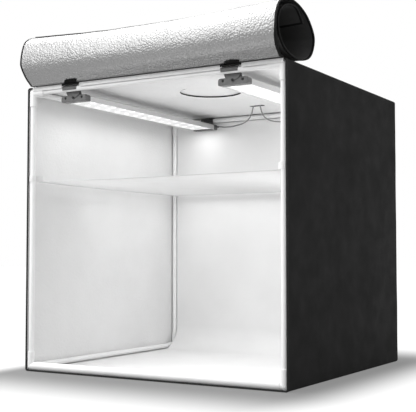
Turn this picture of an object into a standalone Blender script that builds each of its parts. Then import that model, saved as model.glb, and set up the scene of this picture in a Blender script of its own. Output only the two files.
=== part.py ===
"""Light tent cube: a cloth box on a tube frame, with two hooked light bars and a rolled front cover."""
import math

import bmesh
import bpy
from mathutils import Matrix, Vector

# Sizes are in metres. X runs to the right, Y to the back and Z up, with the origin under the middle.

# The whole box, measured over its cover.
width = 0.600
depth = 0.560
height = 0.585

# Clearance between pieces that touch.
gap = 0.0003
# How far a cutter runs past the face that it cuts.
overrun = 0.002
# Points closer than this are one point.
weld_distance = 0.000003

# Cloth of the box.
cover_cloth = 0.0009
lining_cloth = 0.0007
binding_width = 0.0029
binding_depth = 0.0026

# Frame tubes and their corner sockets.
tube_diameter = 0.0115
tube_wall = 0.0012
socket_wall = 0.00115
knuckle_proud = 0.0003
socket_length = 0.037
socket_bore_depth = 0.0200
socket_chamfer = 0.0008

# Openings in the top, and the flap that covers the round one.
hole_diameter = 0.130
hole_right_of_middle = 0.016
hole_from_front = 0.216
slot_length = 0.038
slot_width = 0.016
slot_right_of_middle = 0.017
slot_from_back = 0.137
flap_size = 0.166
flap_cloth = 0.0018
flap_corner = 0.012

# White backdrop sheet that hangs at the back and sweeps over the floor.
backdrop_cloth = 0.0007
backdrop_side_margin = 0.0175
backdrop_sweep = 0.060
backdrop_ramp = 0.052
backdrop_lap_angle = math.radians(40)

# Diffuser sheet and the straps that tie its corners to the posts.
diffuser_level = 0.3890
diffuser_cloth = 0.0006
diffuser_side_margin = 0.016
diffuser_end_margin = 0.020
strap_cloth = 0.0010
strap_height = 0.0125
strap_tail = 0.016
strap_wrap_angle = math.radians(300)

# Front cover, rolled up on the top front edge.
roll_cloth = 0.0018
roll_half_depth = 0.080
roll_half_height = 0.053
roll_behind_front = 0.039
roll_left_swell_share = 0.78
roll_sag = 0.0085
roll_seam_setback = 0.0010
roll_end_inset = 0.0005
roll_left_seam_inset = 0.016
roll_right_seam_inset = 0.006

# Light bars.
left_bar_inset = 0.1095
right_bar_inset = 0.1175
bar_width = 0.062
bar_height = 0.0127
bar_shoulder = 0.0045
bar_wall = 0.0014
bar_ledge = 0.0012
bar_ledge_height = 0.0010
cap_width = 0.063
cap_height = 0.0135
cap_depth = 0.016
cap_shoulder = 0.0050
cap_corner = 0.0025
cap_front_bevel = 0.0006
cap_tab_top = 0.0132
cap_tab_thickness = 0.0016
cap_tab_lean = 0.0043
cap_tab_corner = 0.0020
cap_tab_root = 0.0030
pivot_below_cap_top = 0.0050
pivot_below_rail = 0.0168
screw_pitch = 0.021
screw_head_diameter = 0.0050
screw_head_height = 0.0013
screw_diameter = 0.0026
screw_length = 0.0080
screw_hole_clearance = 0.0003
screw_rim_share = 0.55
screw_crown_share = 0.6
board_thickness = 0.0016
board_above_rim = 0.0020
led_size = 0.0070
led_thickness = 0.0011
led_pitch = 0.0347
led_row_spacing = 0.028
led_end_margin = 0.012

# Hooks that hang the bars on the top rails.
hook_width = 0.035
hook_cloth = 0.0012
hook_lip_angle = math.radians(208)
hook_tongue_drop = 0.0125
hook_tip_below_pivot = 0.0005
hook_eye_diameter = 0.0058
hook_eye_boss = 0.0004
hook_rib_diameter = 0.0012
hook_rib_angles = (math.radians(198), math.radians(174), math.radians(150))
hook_tip_share = 0.17

# Bar leads.
lead_diameter = 0.0030
gland_length = 0.0080
gland_base_diameter = 0.0070
gland_tip_diameter = 0.0046
gland_above_rim = 0.0063
gland_from_cap_face = 0.0080
socket_plug_diameter = 0.0096
socket_plug_length = 0.030
socket_plug_bore_diameter = 0.0058
socket_plug_bore_depth = 0.0095
socket_plug_pin_diameter = 0.0021
socket_plug_neck_diameter = 0.0050
socket_plug_neck_length = 0.0070

# Places that follow from the sizes above.
tube_radius = tube_diameter / 2
socket_bore_radius = tube_radius + gap
socket_radius = socket_bore_radius + socket_wall
knuckle_radius = socket_radius + knuckle_proud
skin = cover_cloth + gap + lining_cloth
rail_x = width / 2 - skin - gap - knuckle_radius
rail_front_y = -depth / 2 + gap + knuckle_radius
rail_back_y = depth / 2 - skin - gap - knuckle_radius
rail_top_z = height - skin - gap - knuckle_radius
rail_bottom_z = skin + gap + knuckle_radius
socket_reach = socket_length - knuckle_radius
cloth_front_y = -depth / 2 + binding_depth + gap
backdrop_width = width - 2 * backdrop_side_margin
diffuser_width = width - 2 * diffuser_side_margin
diffuser_depth = depth - 2 * diffuser_end_margin
hole_x = hole_right_of_middle
hole_y = -depth / 2 + hole_from_front
slot_x = slot_right_of_middle
slot_y = depth / 2 - slot_from_back
hook_radius = tube_radius + gap + hook_cloth / 2
pivot_z = rail_top_z - pivot_below_rail
bar_front_y = rail_front_y + hook_radius + hook_cloth / 2 + gap
bar_back_y = rail_back_y - hook_radius - hook_cloth / 2 - gap
cap_top = pivot_below_cap_top
cap_bottom = cap_top - cap_height
bar_rim = cap_bottom + gap

# Numbers of flats on round pieces.
tube_sides = 20
ball_sides = 16
screw_sides = 12
hole_sides = 48

# The rolled cloth's route in the plane across the roll, from its seam to its inner free edge.
# Each pair gives shares of the roll's half depth (to the back) and half height (up).
roll_route_shares = (
    (-0.90, -0.66), (-1.00, -0.19), (-0.93, 0.38), (-0.70, 0.82), (-0.11, 1.02), (0.56, 0.75),
    (0.97, 0.19), (0.96, -0.30), (0.69, -0.74), (0.11, -0.93), (-0.52, -0.75), (-0.84, -0.28),
    (-0.84, 0.28), (-0.55, 0.70), (-0.05, 0.85), (0.21, 0.66), (0.39, 0.38),
)
roll_seam_run_share = 0.14
roll_steps_per_span = 3
roll_sections = 8
roll_inset_steps = 7

# Routes of the two leads, chosen by hand: from the gland to the slot, and then on the tent's top.
left_lead_route = (
    (-0.1503, 0.2547, 0.5570), (-0.1440, 0.2546, 0.5562), (-0.1280, 0.2490, 0.5538), (-0.0980, 0.2370, 0.5525),
    (-0.0650, 0.2200, 0.5540), (-0.0390, 0.2000, 0.5580), (-0.0140, 0.1720, 0.5655), (-0.0020, 0.1560, 0.5735),
    (0.0070, 0.1440, 0.5840), (0.0088, 0.1380, 0.5905), (0.0050, 0.1290, 0.5935), (-0.0060, 0.1190, 0.5905),
    (-0.0220, 0.1120, 0.5875), (-0.0420, 0.1090, 0.5870), (-0.0560, 0.1084, 0.5890), (-0.0640, 0.1084, 0.5901),
)
left_slot_point = 8
right_lead_route = (
    (0.1423, 0.2547, 0.5570), (0.1360, 0.2546, 0.5562), (0.1100, 0.2430, 0.5525), (0.0750, 0.2220, 0.5495),
    (0.0420, 0.2000, 0.5490), (0.0280, 0.1850, 0.5515), (0.0225, 0.1680, 0.5580), (0.0220, 0.1560, 0.5680),
    (0.0230, 0.1480, 0.5780), (0.0240, 0.1430, 0.5840), (0.0250, 0.1370, 0.5905), (0.0300, 0.1285, 0.5935),
    (0.0410, 0.1190, 0.5905), (0.0570, 0.1120, 0.5875), (0.0770, 0.1090, 0.5870), (0.0910, 0.1084, 0.5890),
    (0.0990, 0.1084, 0.5901),
)
right_slot_point = 9
lead_step_diameters = 2.6


def clear_scene():
    for obj in list(bpy.data.objects):
        bpy.data.objects.remove(obj, do_unlink=True)


def finish(name, colour, roughness, metallic=0.0, glow=0.0):
    material = bpy.data.materials.new(name)
    material.use_nodes = True
    shader = material.node_tree.nodes["Principled BSDF"]
    shader.inputs["Base Color"].default_value = (*colour, 1)
    shader.inputs["Roughness"].default_value = roughness
    shader.inputs["Metallic"].default_value = metallic
    shader.inputs["Emission Color"].default_value = (1, 1, 1, 1)
    shader.inputs["Emission Strength"].default_value = glow
    material.diffuse_color = (*colour, 1)
    return material


def white_coating():
    return finish("white_coating", (0.86, 0.86, 0.86), 0.35)


def white_plastic():
    return finish("white_plastic", (0.84, 0.84, 0.84), 0.45)


def black_cloth():
    return finish("black_cloth", (0.022, 0.022, 0.023), 0.75)


def black_tape():
    return finish("black_tape", (0.012, 0.012, 0.012), 0.8)


def silver_cloth():
    return finish("silver_cloth", (0.74, 0.74, 0.75), 0.42, 0.35)


def white_sheet():
    return finish("white_sheet", (0.90, 0.90, 0.90), 0.6)


def diffuser_cloth_finish():
    return finish("diffuser_cloth", (0.88, 0.88, 0.89), 0.7)


def white_strap():
    return finish("white_strap", (0.80, 0.80, 0.80), 0.8)


def grey_plastic():
    return finish("grey_plastic", (0.085, 0.085, 0.088), 0.5)


def aluminium():
    return finish("aluminium", (0.78, 0.79, 0.80), 0.35, 0.9)


def lit_board():
    return finish("lit_board", (0.92, 0.92, 0.90), 0.4, 0.0, 2.0)


def black_steel():
    return finish("black_steel", (0.03, 0.03, 0.03), 0.35, 0.8)


def grey_lead():
    return finish("grey_lead", (0.30, 0.30, 0.31), 0.5)


def black_plastic():
    return finish("black_plastic", (0.03, 0.03, 0.03), 0.45)


def place(name, mesh, material, location=(0, 0, 0), turn=0.0, parent=None):
    """Puts a mesh in the scene as a named piece, turned about Z at its own origin."""
    obj = bpy.data.objects.new(name, mesh)
    bpy.context.scene.collection.objects.link(obj)
    obj.parent = parent
    obj.location = location
    obj.rotation_euler = (0, 0, turn)
    if not mesh.materials:
        mesh.materials.append(material)
    return obj


def guide(name, location, parent=None):
    """An empty that marks a joint's axis and carries its pieces."""
    empty = bpy.data.objects.new(name, None)
    bpy.context.scene.collection.objects.link(empty)
    empty.parent = parent
    empty.location = location
    empty.hide_render = True
    return empty


def to_mesh(name, bm, smooth=False):
    bmesh.ops.recalc_face_normals(bm, faces=bm.faces)
    mesh = bpy.data.meshes.new(name)
    bm.to_mesh(mesh)
    bm.free()
    if smooth:
        mesh.shade_smooth()
        mesh.set_sharp_from_angle(angle=math.radians(35))
    return mesh


def weld(bm):
    """Merges points that fall on each other."""
    bmesh.ops.remove_doubles(bm, verts=bm.verts, dist=weld_distance)


def slab(low, high):
    """A box between two corners."""
    bm = bmesh.new()
    bmesh.ops.create_cube(bm, size=1)
    low = Vector(low)
    high = Vector(high)
    bmesh.ops.scale(bm, vec=high - low, verts=bm.verts)
    bmesh.ops.translate(bm, vec=(low + high) / 2, verts=bm.verts)
    return bm


def turned(profile, sides, start=(0, 0, 0), direction=(0, 0, 1)):
    """Spins a closed profile of (radius, distance) points about a line."""
    bm = bmesh.new()
    ring = [bm.verts.new((radius, 0, along)) for radius, along in profile]
    edges = [bm.edges.new((a, b)) for a, b in zip(ring, ring[1:] + ring[:1])]
    bmesh.ops.spin(
        bm, geom=ring + edges, cent=(0, 0, 0), axis=(0, 0, 1), angle=math.tau, steps=sides, use_merge=True
    )
    weld(bm)
    loose = [edge for edge in bm.edges if not edge.link_faces]
    bmesh.ops.delete(bm, geom=loose, context="EDGES")
    spin_axis = Vector((0, 0, 1)).rotation_difference(Vector(direction))
    matrix = Matrix.Translation(start) @ spin_axis.to_matrix().to_4x4()
    bmesh.ops.transform(bm, matrix=matrix, verts=bm.verts)
    return bm


def rod(radius, length, sides, start, direction):
    """A plain round bar."""
    return turned(((0, 0), (radius, 0), (radius, length), (0, length)), sides, start, direction)


def extruded(outline, vector):
    """Pushes a flat outline of points along a vector."""
    bm = bmesh.new()
    face = bm.faces.new([bm.verts.new(point) for point in outline])
    made = bmesh.ops.extrude_face_region(bm, geom=[face], use_keep_orig=True)
    moved = [item for item in made["geom"] if isinstance(item, bmesh.types.BMVert)]
    bmesh.ops.translate(bm, vec=vector, verts=moved)
    return bm


def join(parts):
    """Puts several separate bodies into one bmesh."""
    whole = bmesh.new()
    for part in parts:
        bmesh.ops.recalc_face_normals(part, faces=part.faces)
        mesh = bpy.data.meshes.new("join")
        part.to_mesh(mesh)
        part.free()
        whole.from_mesh(mesh)
        bpy.data.meshes.remove(mesh)
    return whole


def combined(name, base, tools, smooth=False):
    """Joins a base with, or cuts it by, each (operation, body) of the tools, and returns the mesh."""
    body = place(name, to_mesh(name, base), None)
    helpers = []
    for operation, tool in tools:
        helper = place(name + "_tool", to_mesh(name + "_tool", tool), None)
        helpers.append(helper)
        boolean = body.modifiers.new(operation.lower(), "BOOLEAN")
        boolean.operation = operation
        boolean.object = helper
    bpy.context.view_layer.update()
    result = bmesh.new()
    result.from_object(body, bpy.context.evaluated_depsgraph_get())
    for obj in [body] + helpers:
        bpy.data.objects.remove(obj, do_unlink=True)
    weld(result)
    return to_mesh(name, result, smooth)


def cut_by(obj, cutter):
    boolean = obj.modifiers.new(cutter.name, "BOOLEAN")
    boolean.operation = "DIFFERENCE"
    boolean.object = cutter


def cutter_object(name, bm):
    cutter = place(name, to_mesh(name, bm), None)
    cutter.hide_render = True
    cutter.display_type = "WIRE"
    return cutter


def cloth_piece(name, rows, thickness, material, location=(0, 0, 0), smooth=True):
    """A sheet through rows of points, thickened evenly on both sides."""
    bm = bmesh.new()
    grid = [[bm.verts.new(Vector(point) - Vector(location)) for point in row] for row in rows]
    for row, following in zip(grid, grid[1:]):
        for a, b, c, d in zip(row, row[1:], following[1:], following):
            bm.faces.new((a, b, c, d))
    obj = place(name, to_mesh(name, bm, smooth), material, location)
    thicken(obj, thickness)
    return obj


def thicken(obj, thickness):
    solid = obj.modifiers.new("thickness", "SOLIDIFY")
    solid.thickness = thickness
    solid.offset = 0
    solid.use_even_offset = True


def smooth_curve(points, steps):
    """Points along a smooth curve through the given ones, with a number of steps in each span."""
    points = [Vector(point) for point in points]
    ends = [2 * points[0] - points[1]] + points + [2 * points[-1] - points[-2]]
    curve = []
    for before, start, end, after in zip(ends, ends[1:], ends[2:], ends[3:]):
        for step in range(steps):
            curve.append(hermite(start, end, (end - before) / 2, (after - start) / 2, step / steps))
    return curve + [points[-1]]


def hermite(start, end, leave, arrive, share):
    square = share * share
    cube = square * share
    bend = 3 * square - 2 * cube
    return start * (1 - bend) + end * bend + leave * (cube - 2 * square + share) + arrive * (cube - square)


def arc(centre, radius, first, last, steps):
    """Points on an arc in a plane, as (across, up) pairs."""
    angles = [first + (last - first) * step / steps for step in range(steps + 1)]
    return [(centre[0] + radius * math.cos(angle), centre[1] + radius * math.sin(angle)) for angle in angles]


def make_posts(material):
    run = height - rail_bottom_z - (height - rail_top_z) - 2 * tube_start()
    for y_name, y in (("front", rail_front_y), ("rear", rail_back_y)):
        for x_name, x in (("left", -rail_x), ("right", rail_x)):
            mesh = tube_mesh(run, (0, 0, 1))
            place(f"post_{y_name}_{x_name}", mesh, material, (x, y, rail_bottom_z + tube_start()))


def make_rails(material):
    across = 2 * rail_x - 2 * tube_start()
    along = rail_back_y - rail_front_y - 2 * tube_start()
    for z_name, z in (("top", rail_top_z), ("bottom", rail_bottom_z)):
        for y_name, y in (("front", rail_front_y), ("rear", rail_back_y)):
            place(f"{z_name}_rail_{y_name}", tube_mesh(across, (1, 0, 0)), material, (-across / 2, y, z))
        for x_name, x in (("left", -rail_x), ("right", rail_x)):
            start = (x, rail_front_y + tube_start(), z)
            place(f"{z_name}_rail_{x_name}", tube_mesh(along, (0, 1, 0)), material, start)


def tube_start():
    """Distance from a corner's middle to the end of a tube in its socket."""
    return socket_reach - socket_bore_depth + gap


def tube_mesh(length, direction):
    inner = tube_radius - tube_wall
    profile = ((inner, 0), (tube_radius, 0), (tube_radius, length), (inner, length))
    return to_mesh("tube", turned(profile, tube_sides, (0, 0, 0), direction), smooth=True)


def corner_mesh():
    """A moulded corner: three round sockets at right angles round a ball."""
    axes = ((1, 0, 0), (0, 1, 0), (0, 0, 1))
    top = socket_radius - socket_chamfer
    shoulder = socket_reach - socket_chamfer
    leg = ((0, 0), (socket_radius, 0), (socket_radius, shoulder), (top, socket_reach), (0, socket_reach))
    ball = bmesh.new()
    bmesh.ops.create_uvsphere(ball, u_segments=ball_sides, v_segments=ball_sides // 2, radius=knuckle_radius)
    tools = [("UNION", turned(leg, tube_sides, (0, 0, 0), axis)) for axis in axes]
    bore_start = socket_reach - socket_bore_depth
    for axis in axes:
        start = Vector(axis) * bore_start
        tools.append(("DIFFERENCE", rod(socket_bore_radius, socket_bore_depth + overrun, tube_sides, start, axis)))
    return combined("corner", ball, tools, smooth=True)


def make_corners(material):
    """The same moulding serves all corners: turned about Z below, and tipped over as well above."""
    mesh = corner_mesh()
    quarter_turns = {("left", "front"): 0, ("right", "front"): 1, ("right", "rear"): 2, ("left", "rear"): 3}
    for (x_name, y_name), quarters in quarter_turns.items():
        x = -rail_x if x_name == "left" else rail_x
        y = rail_front_y if y_name == "front" else rail_back_y
        turn = quarters * math.pi / 2
        place(f"corner_bottom_{y_name}_{x_name}", mesh, material, (x, y, rail_bottom_z), turn)
        upper = place(f"corner_top_{y_name}_{x_name}", mesh, material, (x, y, rail_top_z))
        upper.rotation_euler = (0, math.pi / 2, turn)


def make_cover(material):
    """Five outer panels of black cloth."""
    x = width / 2
    y = depth / 2
    front = cloth_front_y
    inner_x = x - cover_cloth
    inner_y = y - cover_cloth
    low = cover_cloth + gap
    high = height - cover_cloth - gap
    panel("cover_bottom", (-x, front, 0), (x, y, cover_cloth), material)
    top = panel("cover_top", (-x, front, height - cover_cloth), (x, y, height), material)
    panel("cover_left", (-x, front, low), (-inner_x, inner_y - gap, high), material)
    panel("cover_right", (inner_x, front, low), (x, inner_y - gap, high), material)
    panel("cover_rear", (-x, inner_y, low), (x, y, high), material)
    return top


def make_lining(material):
    """One silver liner, open at the front, a clearance inside the cover."""
    x = width / 2 - cover_cloth - gap
    y = depth / 2 - cover_cloth - gap
    low = cover_cloth + gap
    high = height - cover_cloth - gap
    outer = slab((-x, cloth_front_y, low), (x, y, high))
    inner_low = (-x + lining_cloth, cloth_front_y - overrun, low + lining_cloth)
    inner = slab(inner_low, (x - lining_cloth, y - lining_cloth, high - lining_cloth))
    return place("lining", combined("lining", outer, [("DIFFERENCE", inner)]), material)


def panel(name, low, high, material):
    return place(name, to_mesh(name, slab(low, high)), material)


def cut_top_openings(panels):
    """The round hole to shoot through, and the slot for the leads, through cover and lining."""
    low = height - skin - overrun
    tall = skin + 2 * overrun
    hole = cutter_object("hole_cutter", rod(hole_diameter / 2, tall, hole_sides, (hole_x, hole_y, low), (0, 0, 1)))
    outline = rounded_outline(slot_length, slot_width, slot_width / 2 - gap, hole_sides // 8)
    placed = [(slot_x + x, slot_y + y, low) for x, y in outline]
    slot = cutter_object("slot_cutter", extruded(placed, (0, 0, tall)))
    for top in panels:
        cut_by(top, hole)
        cut_by(top, slot)


def rounded_outline(long, wide, corner, steps):
    """A rectangle with round corners, about its own middle."""
    x = long / 2 - corner
    y = wide / 2 - corner
    points = []
    for quarter, (side_x, side_y) in enumerate(((x, y), (-x, y), (-x, -y), (x, -y))):
        first = quarter * math.pi / 2
        points += arc((side_x, side_y), corner, first, first + math.pi / 2, steps)
    return points


def make_binding(material):
    """Folded tape that closes the cloth's front edges, as one ring."""
    outer = slab((-width / 2, -depth / 2, 0), (width / 2, -depth / 2 + binding_depth, height))
    inner_x = width / 2 - binding_width
    back = -depth / 2 + binding_depth + overrun
    front = -depth / 2 - overrun
    inner = slab((-inner_x, front, binding_width), (inner_x, back, height - binding_width))
    place("front_binding", combined("front_binding", outer, [("DIFFERENCE", inner)]), material)


def make_backdrop(material):
    """One white sheet: down from the back rail, round a wide sweep, and over the front rail."""
    wall_y = rail_back_y
    floor_z = skin + gap + backdrop_cloth / 2
    top_z = rail_top_z - socket_radius - gap
    lap_radius = socket_radius + gap + backdrop_cloth / 2
    crest_z = rail_bottom_z + lap_radius
    sweep_centre = (wall_y - backdrop_sweep, floor_z + backdrop_sweep)
    path = [(wall_y, top_z)]
    path += arc(sweep_centre, backdrop_sweep, 0, -math.pi / 2, 14)
    for step in range(9):
        share = step / 8
        rise = share * share * (3 - 2 * share)
        path.append((rail_front_y + backdrop_ramp * (1 - share), floor_z + (crest_z - floor_z) * rise))
    lap = arc((rail_front_y, rail_bottom_z), lap_radius, math.pi / 2, math.pi / 2 + backdrop_lap_angle, 4)
    path += lap[1:]
    half = backdrop_width / 2
    rows = [[(-half, y, z), (half, y, z)] for y, z in path]
    cloth_piece("backdrop", rows, backdrop_cloth, material)


def make_diffuser(sheet_material, strap_material):
    """A flat sheet held level by a strap from each corner round the post beside it."""
    low = diffuser_level - diffuser_cloth / 2
    high = diffuser_level + diffuser_cloth / 2
    half_x = diffuser_width / 2
    half_y = diffuser_depth / 2
    panel("diffuser_sheet", (-half_x, -half_y, low), (half_x, half_y, high), sheet_material)
    for x_name, side in (("left", -1), ("right", 1)):
        for y_name, post_y, end in (("front", rail_front_y, -1), ("rear", rail_back_y, 1)):
            make_strap(f"strap_{y_name}_{x_name}", side, end, post_y, high + gap, strap_material)


def make_strap(name, side, end, post_y, low, material):
    """One strap, standing on edge: a loop round the post and a tail over the sheet's corner."""
    radius = tube_radius + gap + strap_cloth / 2
    inward = math.atan2(-end, -side)
    open_half = (math.tau - strap_wrap_angle) / 2
    loop = arc((side * rail_x, post_y), radius, inward + open_half, inward + open_half + strap_wrap_angle, 16)
    tail_end = (loop[0][0] + math.cos(inward) * strap_tail, loop[0][1] + math.sin(inward) * strap_tail)
    path = [tail_end] + loop
    rows = [[(x, y, low) for x, y in path], [(x, y, low + strap_height) for x, y in path]]
    cloth_piece(name, rows, strap_cloth, material)


def roll_section(across):
    """The rolled cloth's points at a place along the roll, from -1 at its left end to 1 at its right."""
    swell = 1 + (roll_left_swell_share - 1) * (1 - across) / 2
    sag = roll_sag * (1 - across * across)
    centre_y = -depth / 2 + roll_behind_front
    centre_z = height + gap + roll_cloth + roll_half_height
    seam_y = -depth / 2 + roll_seam_setback
    seam_z = height + gap + roll_cloth / 2
    seam_run = roll_half_depth * roll_seam_run_share
    points = [(seam_y - seam_run * swell, seam_z)]
    for back, up in roll_route_shares:
        forward_swell = swell if back < 0 else 1
        drop = sag * (1 + up) / 2
        points.append((centre_y + roll_half_depth * back * forward_swell, centre_z + roll_half_height * up - drop))
    return [Vector((0, seam_y, seam_z))] + smooth_curve([(0, y, z) for y, z in points], roll_steps_per_span)


def roll_half_width(across, step):
    """Half the rolled cloth's width at a step of its route: it is narrower near the seam."""
    seam_inset = roll_left_seam_inset if across < 0 else roll_right_seam_inset
    share = max(0, 1 - step / roll_inset_steps)
    return width / 2 - roll_end_inset - seam_inset * share


def make_front_cover(material):
    """The cloth front, rolled up and sewn along the top front edge."""
    rows = []
    for section in range(roll_sections + 1):
        across = 2 * section / roll_sections - 1
        points = enumerate(roll_section(across))
        rows.append([(roll_half_width(across, step) * across, point.y, point.z) for step, point in points])
    cloth_piece("front_cover", rows, roll_cloth, material, (0, -depth / 2, height))


def make_top_flap(material):
    """A square flap over the round hole, sewn along its left edge."""
    outline = rounded_outline(flap_size, flap_size, flap_corner, 5)
    hinge_x = hole_x - flap_size / 2
    hinge_z = height + gap + flap_cloth
    points = [(x + flap_size / 2, y, -flap_cloth) for x, y in outline]
    place("top_flap", to_mesh("top_flap", extruded(points, (0, 0, flap_cloth))), material, (hinge_x, hole_y, hinge_z))


def hook_mesh():
    """A bent strip: a lip over the front of the rail, round its top, and down to a rounded tongue."""
    path = [(y, z, hook_width / 2) for y, z in arc((0, 0), hook_radius, hook_lip_angle, 0, 14)]
    bend_z = -pivot_below_rail - hook_tip_below_pivot + hook_tongue_drop
    drop = hook_tongue_drop
    for step in range(8):
        angle = math.pi / 2 * step / 7 * (1 - hook_tip_share / 2)
        path.append((hook_radius, bend_z - drop * math.sin(angle), hook_width / 2 * math.cos(angle)))
    bm = bmesh.new()
    rows = [[bm.verts.new((half * side, y, z)) for side in (-1, 1)] for y, z, half in path]
    for (a, b), (d, c) in zip(rows, rows[1:]):
        bm.faces.new((a, b, c, d))
    strip = place("hook_strip", to_mesh("hook_strip", bm), None)
    thicken(strip, hook_cloth)
    bpy.context.view_layer.update()
    solid = bmesh.new()
    evaluated = strip.evaluated_get(bpy.context.evaluated_depsgraph_get())
    solid.from_mesh(evaluated.to_mesh())
    bpy.data.objects.remove(strip, do_unlink=True)
    hole_radius = screw_diameter / 2 + screw_hole_clearance
    start = (0, hook_radius - hook_cloth / 2 - overrun, -pivot_below_rail)
    hole = rod(hole_radius, hook_cloth + 2 * overrun, screw_sides, start, (0, 1, 0))
    tools = [("UNION", hook_eye()), ("DIFFERENCE", hole)] + [("UNION", rib) for rib in hook_ribs()]
    return combined("hook", solid, tools, smooth=True)


def hook_eye():
    """A round boss at the tongue's tip, a little thicker than the strip, for the pivot screw."""
    start = (0, hook_radius - hook_cloth / 2 - hook_eye_boss, -pivot_below_rail)
    return rod(hook_eye_diameter / 2, hook_cloth + hook_eye_boss / 2, 2 * screw_sides, start, (0, 1, 0))


def hook_ribs():
    """Finger ribs across the lip."""
    ribs = []
    for angle in hook_rib_angles:
        reach = hook_radius + hook_cloth / 2 - hook_rib_diameter / 4
        inset = hook_width / 2 - hook_rib_diameter
        start = (-inset, reach * math.cos(angle), reach * math.sin(angle))
        ribs.append(rod(hook_rib_diameter / 2, 2 * inset, 8, start, (1, 0, 0)))
    return ribs


def cap_mesh():
    """An end cap with round shoulders, a leaning tab and three screw holes; its face is at Y 0."""
    body = extruded([(x, 0, z) for x, z in cap_outline()], (0, cap_depth, 0))
    face_edges = [edge for edge in body.edges if all(abs(vert.co.y) < gap for vert in edge.verts)]
    bmesh.ops.bevel(body, geom=face_edges, offset=cap_front_bevel, segments=2, profile=0.5, affect="EDGES")
    pivot = screw_recess(screw_diameter / 2 + screw_hole_clearance)
    recess = screw_recess(screw_head_diameter / 2 + screw_hole_clearance)
    tools = [("UNION", cap_tab()), ("DIFFERENCE", turned(pivot, screw_sides, (0, 0, 0), (0, 1, 0)))]
    for x in (-screw_pitch, screw_pitch):
        tools.append(("DIFFERENCE", turned(recess, screw_sides, (x, 0, 0), (0, 1, 0))))
    return combined("cap", body, tools, smooth=True)


def cap_outline():
    """The cap's face across and up from its pivot, anticlockwise from its right shoulder."""
    x = cap_width / 2
    points = []
    corners = (
        (x, cap_top, cap_shoulder), (-x, cap_top, cap_shoulder),
        (-x, cap_bottom, cap_corner), (x, cap_bottom, cap_corner),
    )
    for quarter, (side, level, radius) in enumerate(corners):
        centre = (side - math.copysign(radius, side), level - math.copysign(radius, level))
        first = quarter * math.pi / 2
        points += arc(centre, radius, first, first + math.pi / 2, 5)
    return points


def cap_tab():
    """A thin upright tab behind the hook's tongue, which leans towards it from the cap's top."""
    low = cap_top - cap_tab_root
    outline = rounded_outline(hook_width, cap_tab_top - low, cap_tab_corner, 3)
    middle = (cap_tab_top + low) / 2
    tab = extruded([(x, 0, middle + z) for x, z in outline], (0, cap_tab_thickness, 0))
    for vert in tab.verts:
        vert.co.y += cap_tab_lean * (cap_tab_top - vert.co.z) / (cap_tab_top - cap_top)
    return tab


def screw_recess(mouth):
    """Profile of a screw hole whose mouth has its own radius."""
    hole = screw_diameter / 2 + screw_hole_clearance
    seat = screw_head_height + 2 * gap
    end = screw_length + seat
    if mouth <= hole:
        return ((0, -overrun), (hole, -overrun), (hole, end), (0, end))
    return ((0, -overrun), (mouth, -overrun), (mouth, seat), (hole, seat), (hole, end), (0, end))


def housing_mesh(length):
    """Extruded channel with round shoulders, open below, with ledges that hold the board."""
    half = bar_width / 2
    inner = half - bar_wall
    ledge = inner - bar_ledge
    top = bar_rim + bar_height
    ledge_low = bar_rim + board_above_rim - gap - bar_ledge_height
    ledge_high = ledge_low + bar_ledge_height
    slot_high = ledge_high + board_thickness + 2 * gap
    roof = top - bar_wall
    right = arc((half - bar_shoulder, top - bar_shoulder), bar_shoulder, math.pi / 2, 0, 4) + [
        (half, bar_rim), (inner, bar_rim), (inner, ledge_low), (ledge, ledge_low),
        (ledge, ledge_high), (inner, ledge_high), (inner, slot_high), (ledge, slot_high), (ledge, roof),
    ]
    left = [(-x, z) for x, z in reversed(right)]
    outline = [(x, -length / 2, z) for x, z in right + left]
    return to_mesh("housing", extruded(outline, (0, length, 0)))


def board_level():
    return bar_rim + board_above_rim


def led_places(length):
    """Two rows along the bar, the second half a pitch behind the first."""
    count = int((length - 2 * led_end_margin - led_size) / led_pitch)
    run = led_pitch * (count - 0.5)
    places = []
    for row, x in enumerate((led_row_spacing / 2, -led_row_spacing / 2)):
        places += [(x, -run / 2 + led_pitch * (step + row / 2)) for step in range(count)]
    return places


def board_mesh(length):
    """A flat board that slides into the housing, with its two rows of chips below."""
    half = bar_width / 2 - bar_wall - gap
    low = board_level()
    board = slab((-half, -length / 2, low), (half, length / 2, low + board_thickness))
    chip = led_size / 2
    bottom = low - led_thickness
    top = low + board_thickness / 2
    chips = [slab((x - chip, y - chip, bottom), (x + chip, y + chip, top)) for x, y in led_places(length)]
    return combined("board", board, [("UNION", join(chips))])


def pivot_screw_mesh():
    """A pan-head screw along Y; the underside of its head is at its origin."""
    head = screw_head_diameter / 2
    shank = screw_diameter / 2
    rim = screw_head_height * screw_rim_share
    profile = (
        (0, -screw_head_height), (head * screw_crown_share, -screw_head_height), (head, -rim),
        (head, 0), (shank, 0), (shank, screw_length), (0, screw_length),
    )
    return to_mesh("pivot_screw", turned(profile, screw_sides, (0, 0, 0), (0, 1, 0)), smooth=True)


def gland_mesh(side):
    """A tapered, stepped sleeve where the lead leaves the cap."""
    base = gland_base_diameter / 2
    tip = gland_tip_diameter / 2
    step = gland_length / 4
    waist = (base + tip) / 2
    profile = (
        (0, 0), (base, 0), (base, step), (waist, step), (waist, 2 * step), (tip, 2 * step + gap),
        (tip, gland_length), (0, gland_length),
    )
    return to_mesh("gland", turned(profile, tube_sides, (0, 0, 0), (side, 0, 0)), smooth=True)


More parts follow.
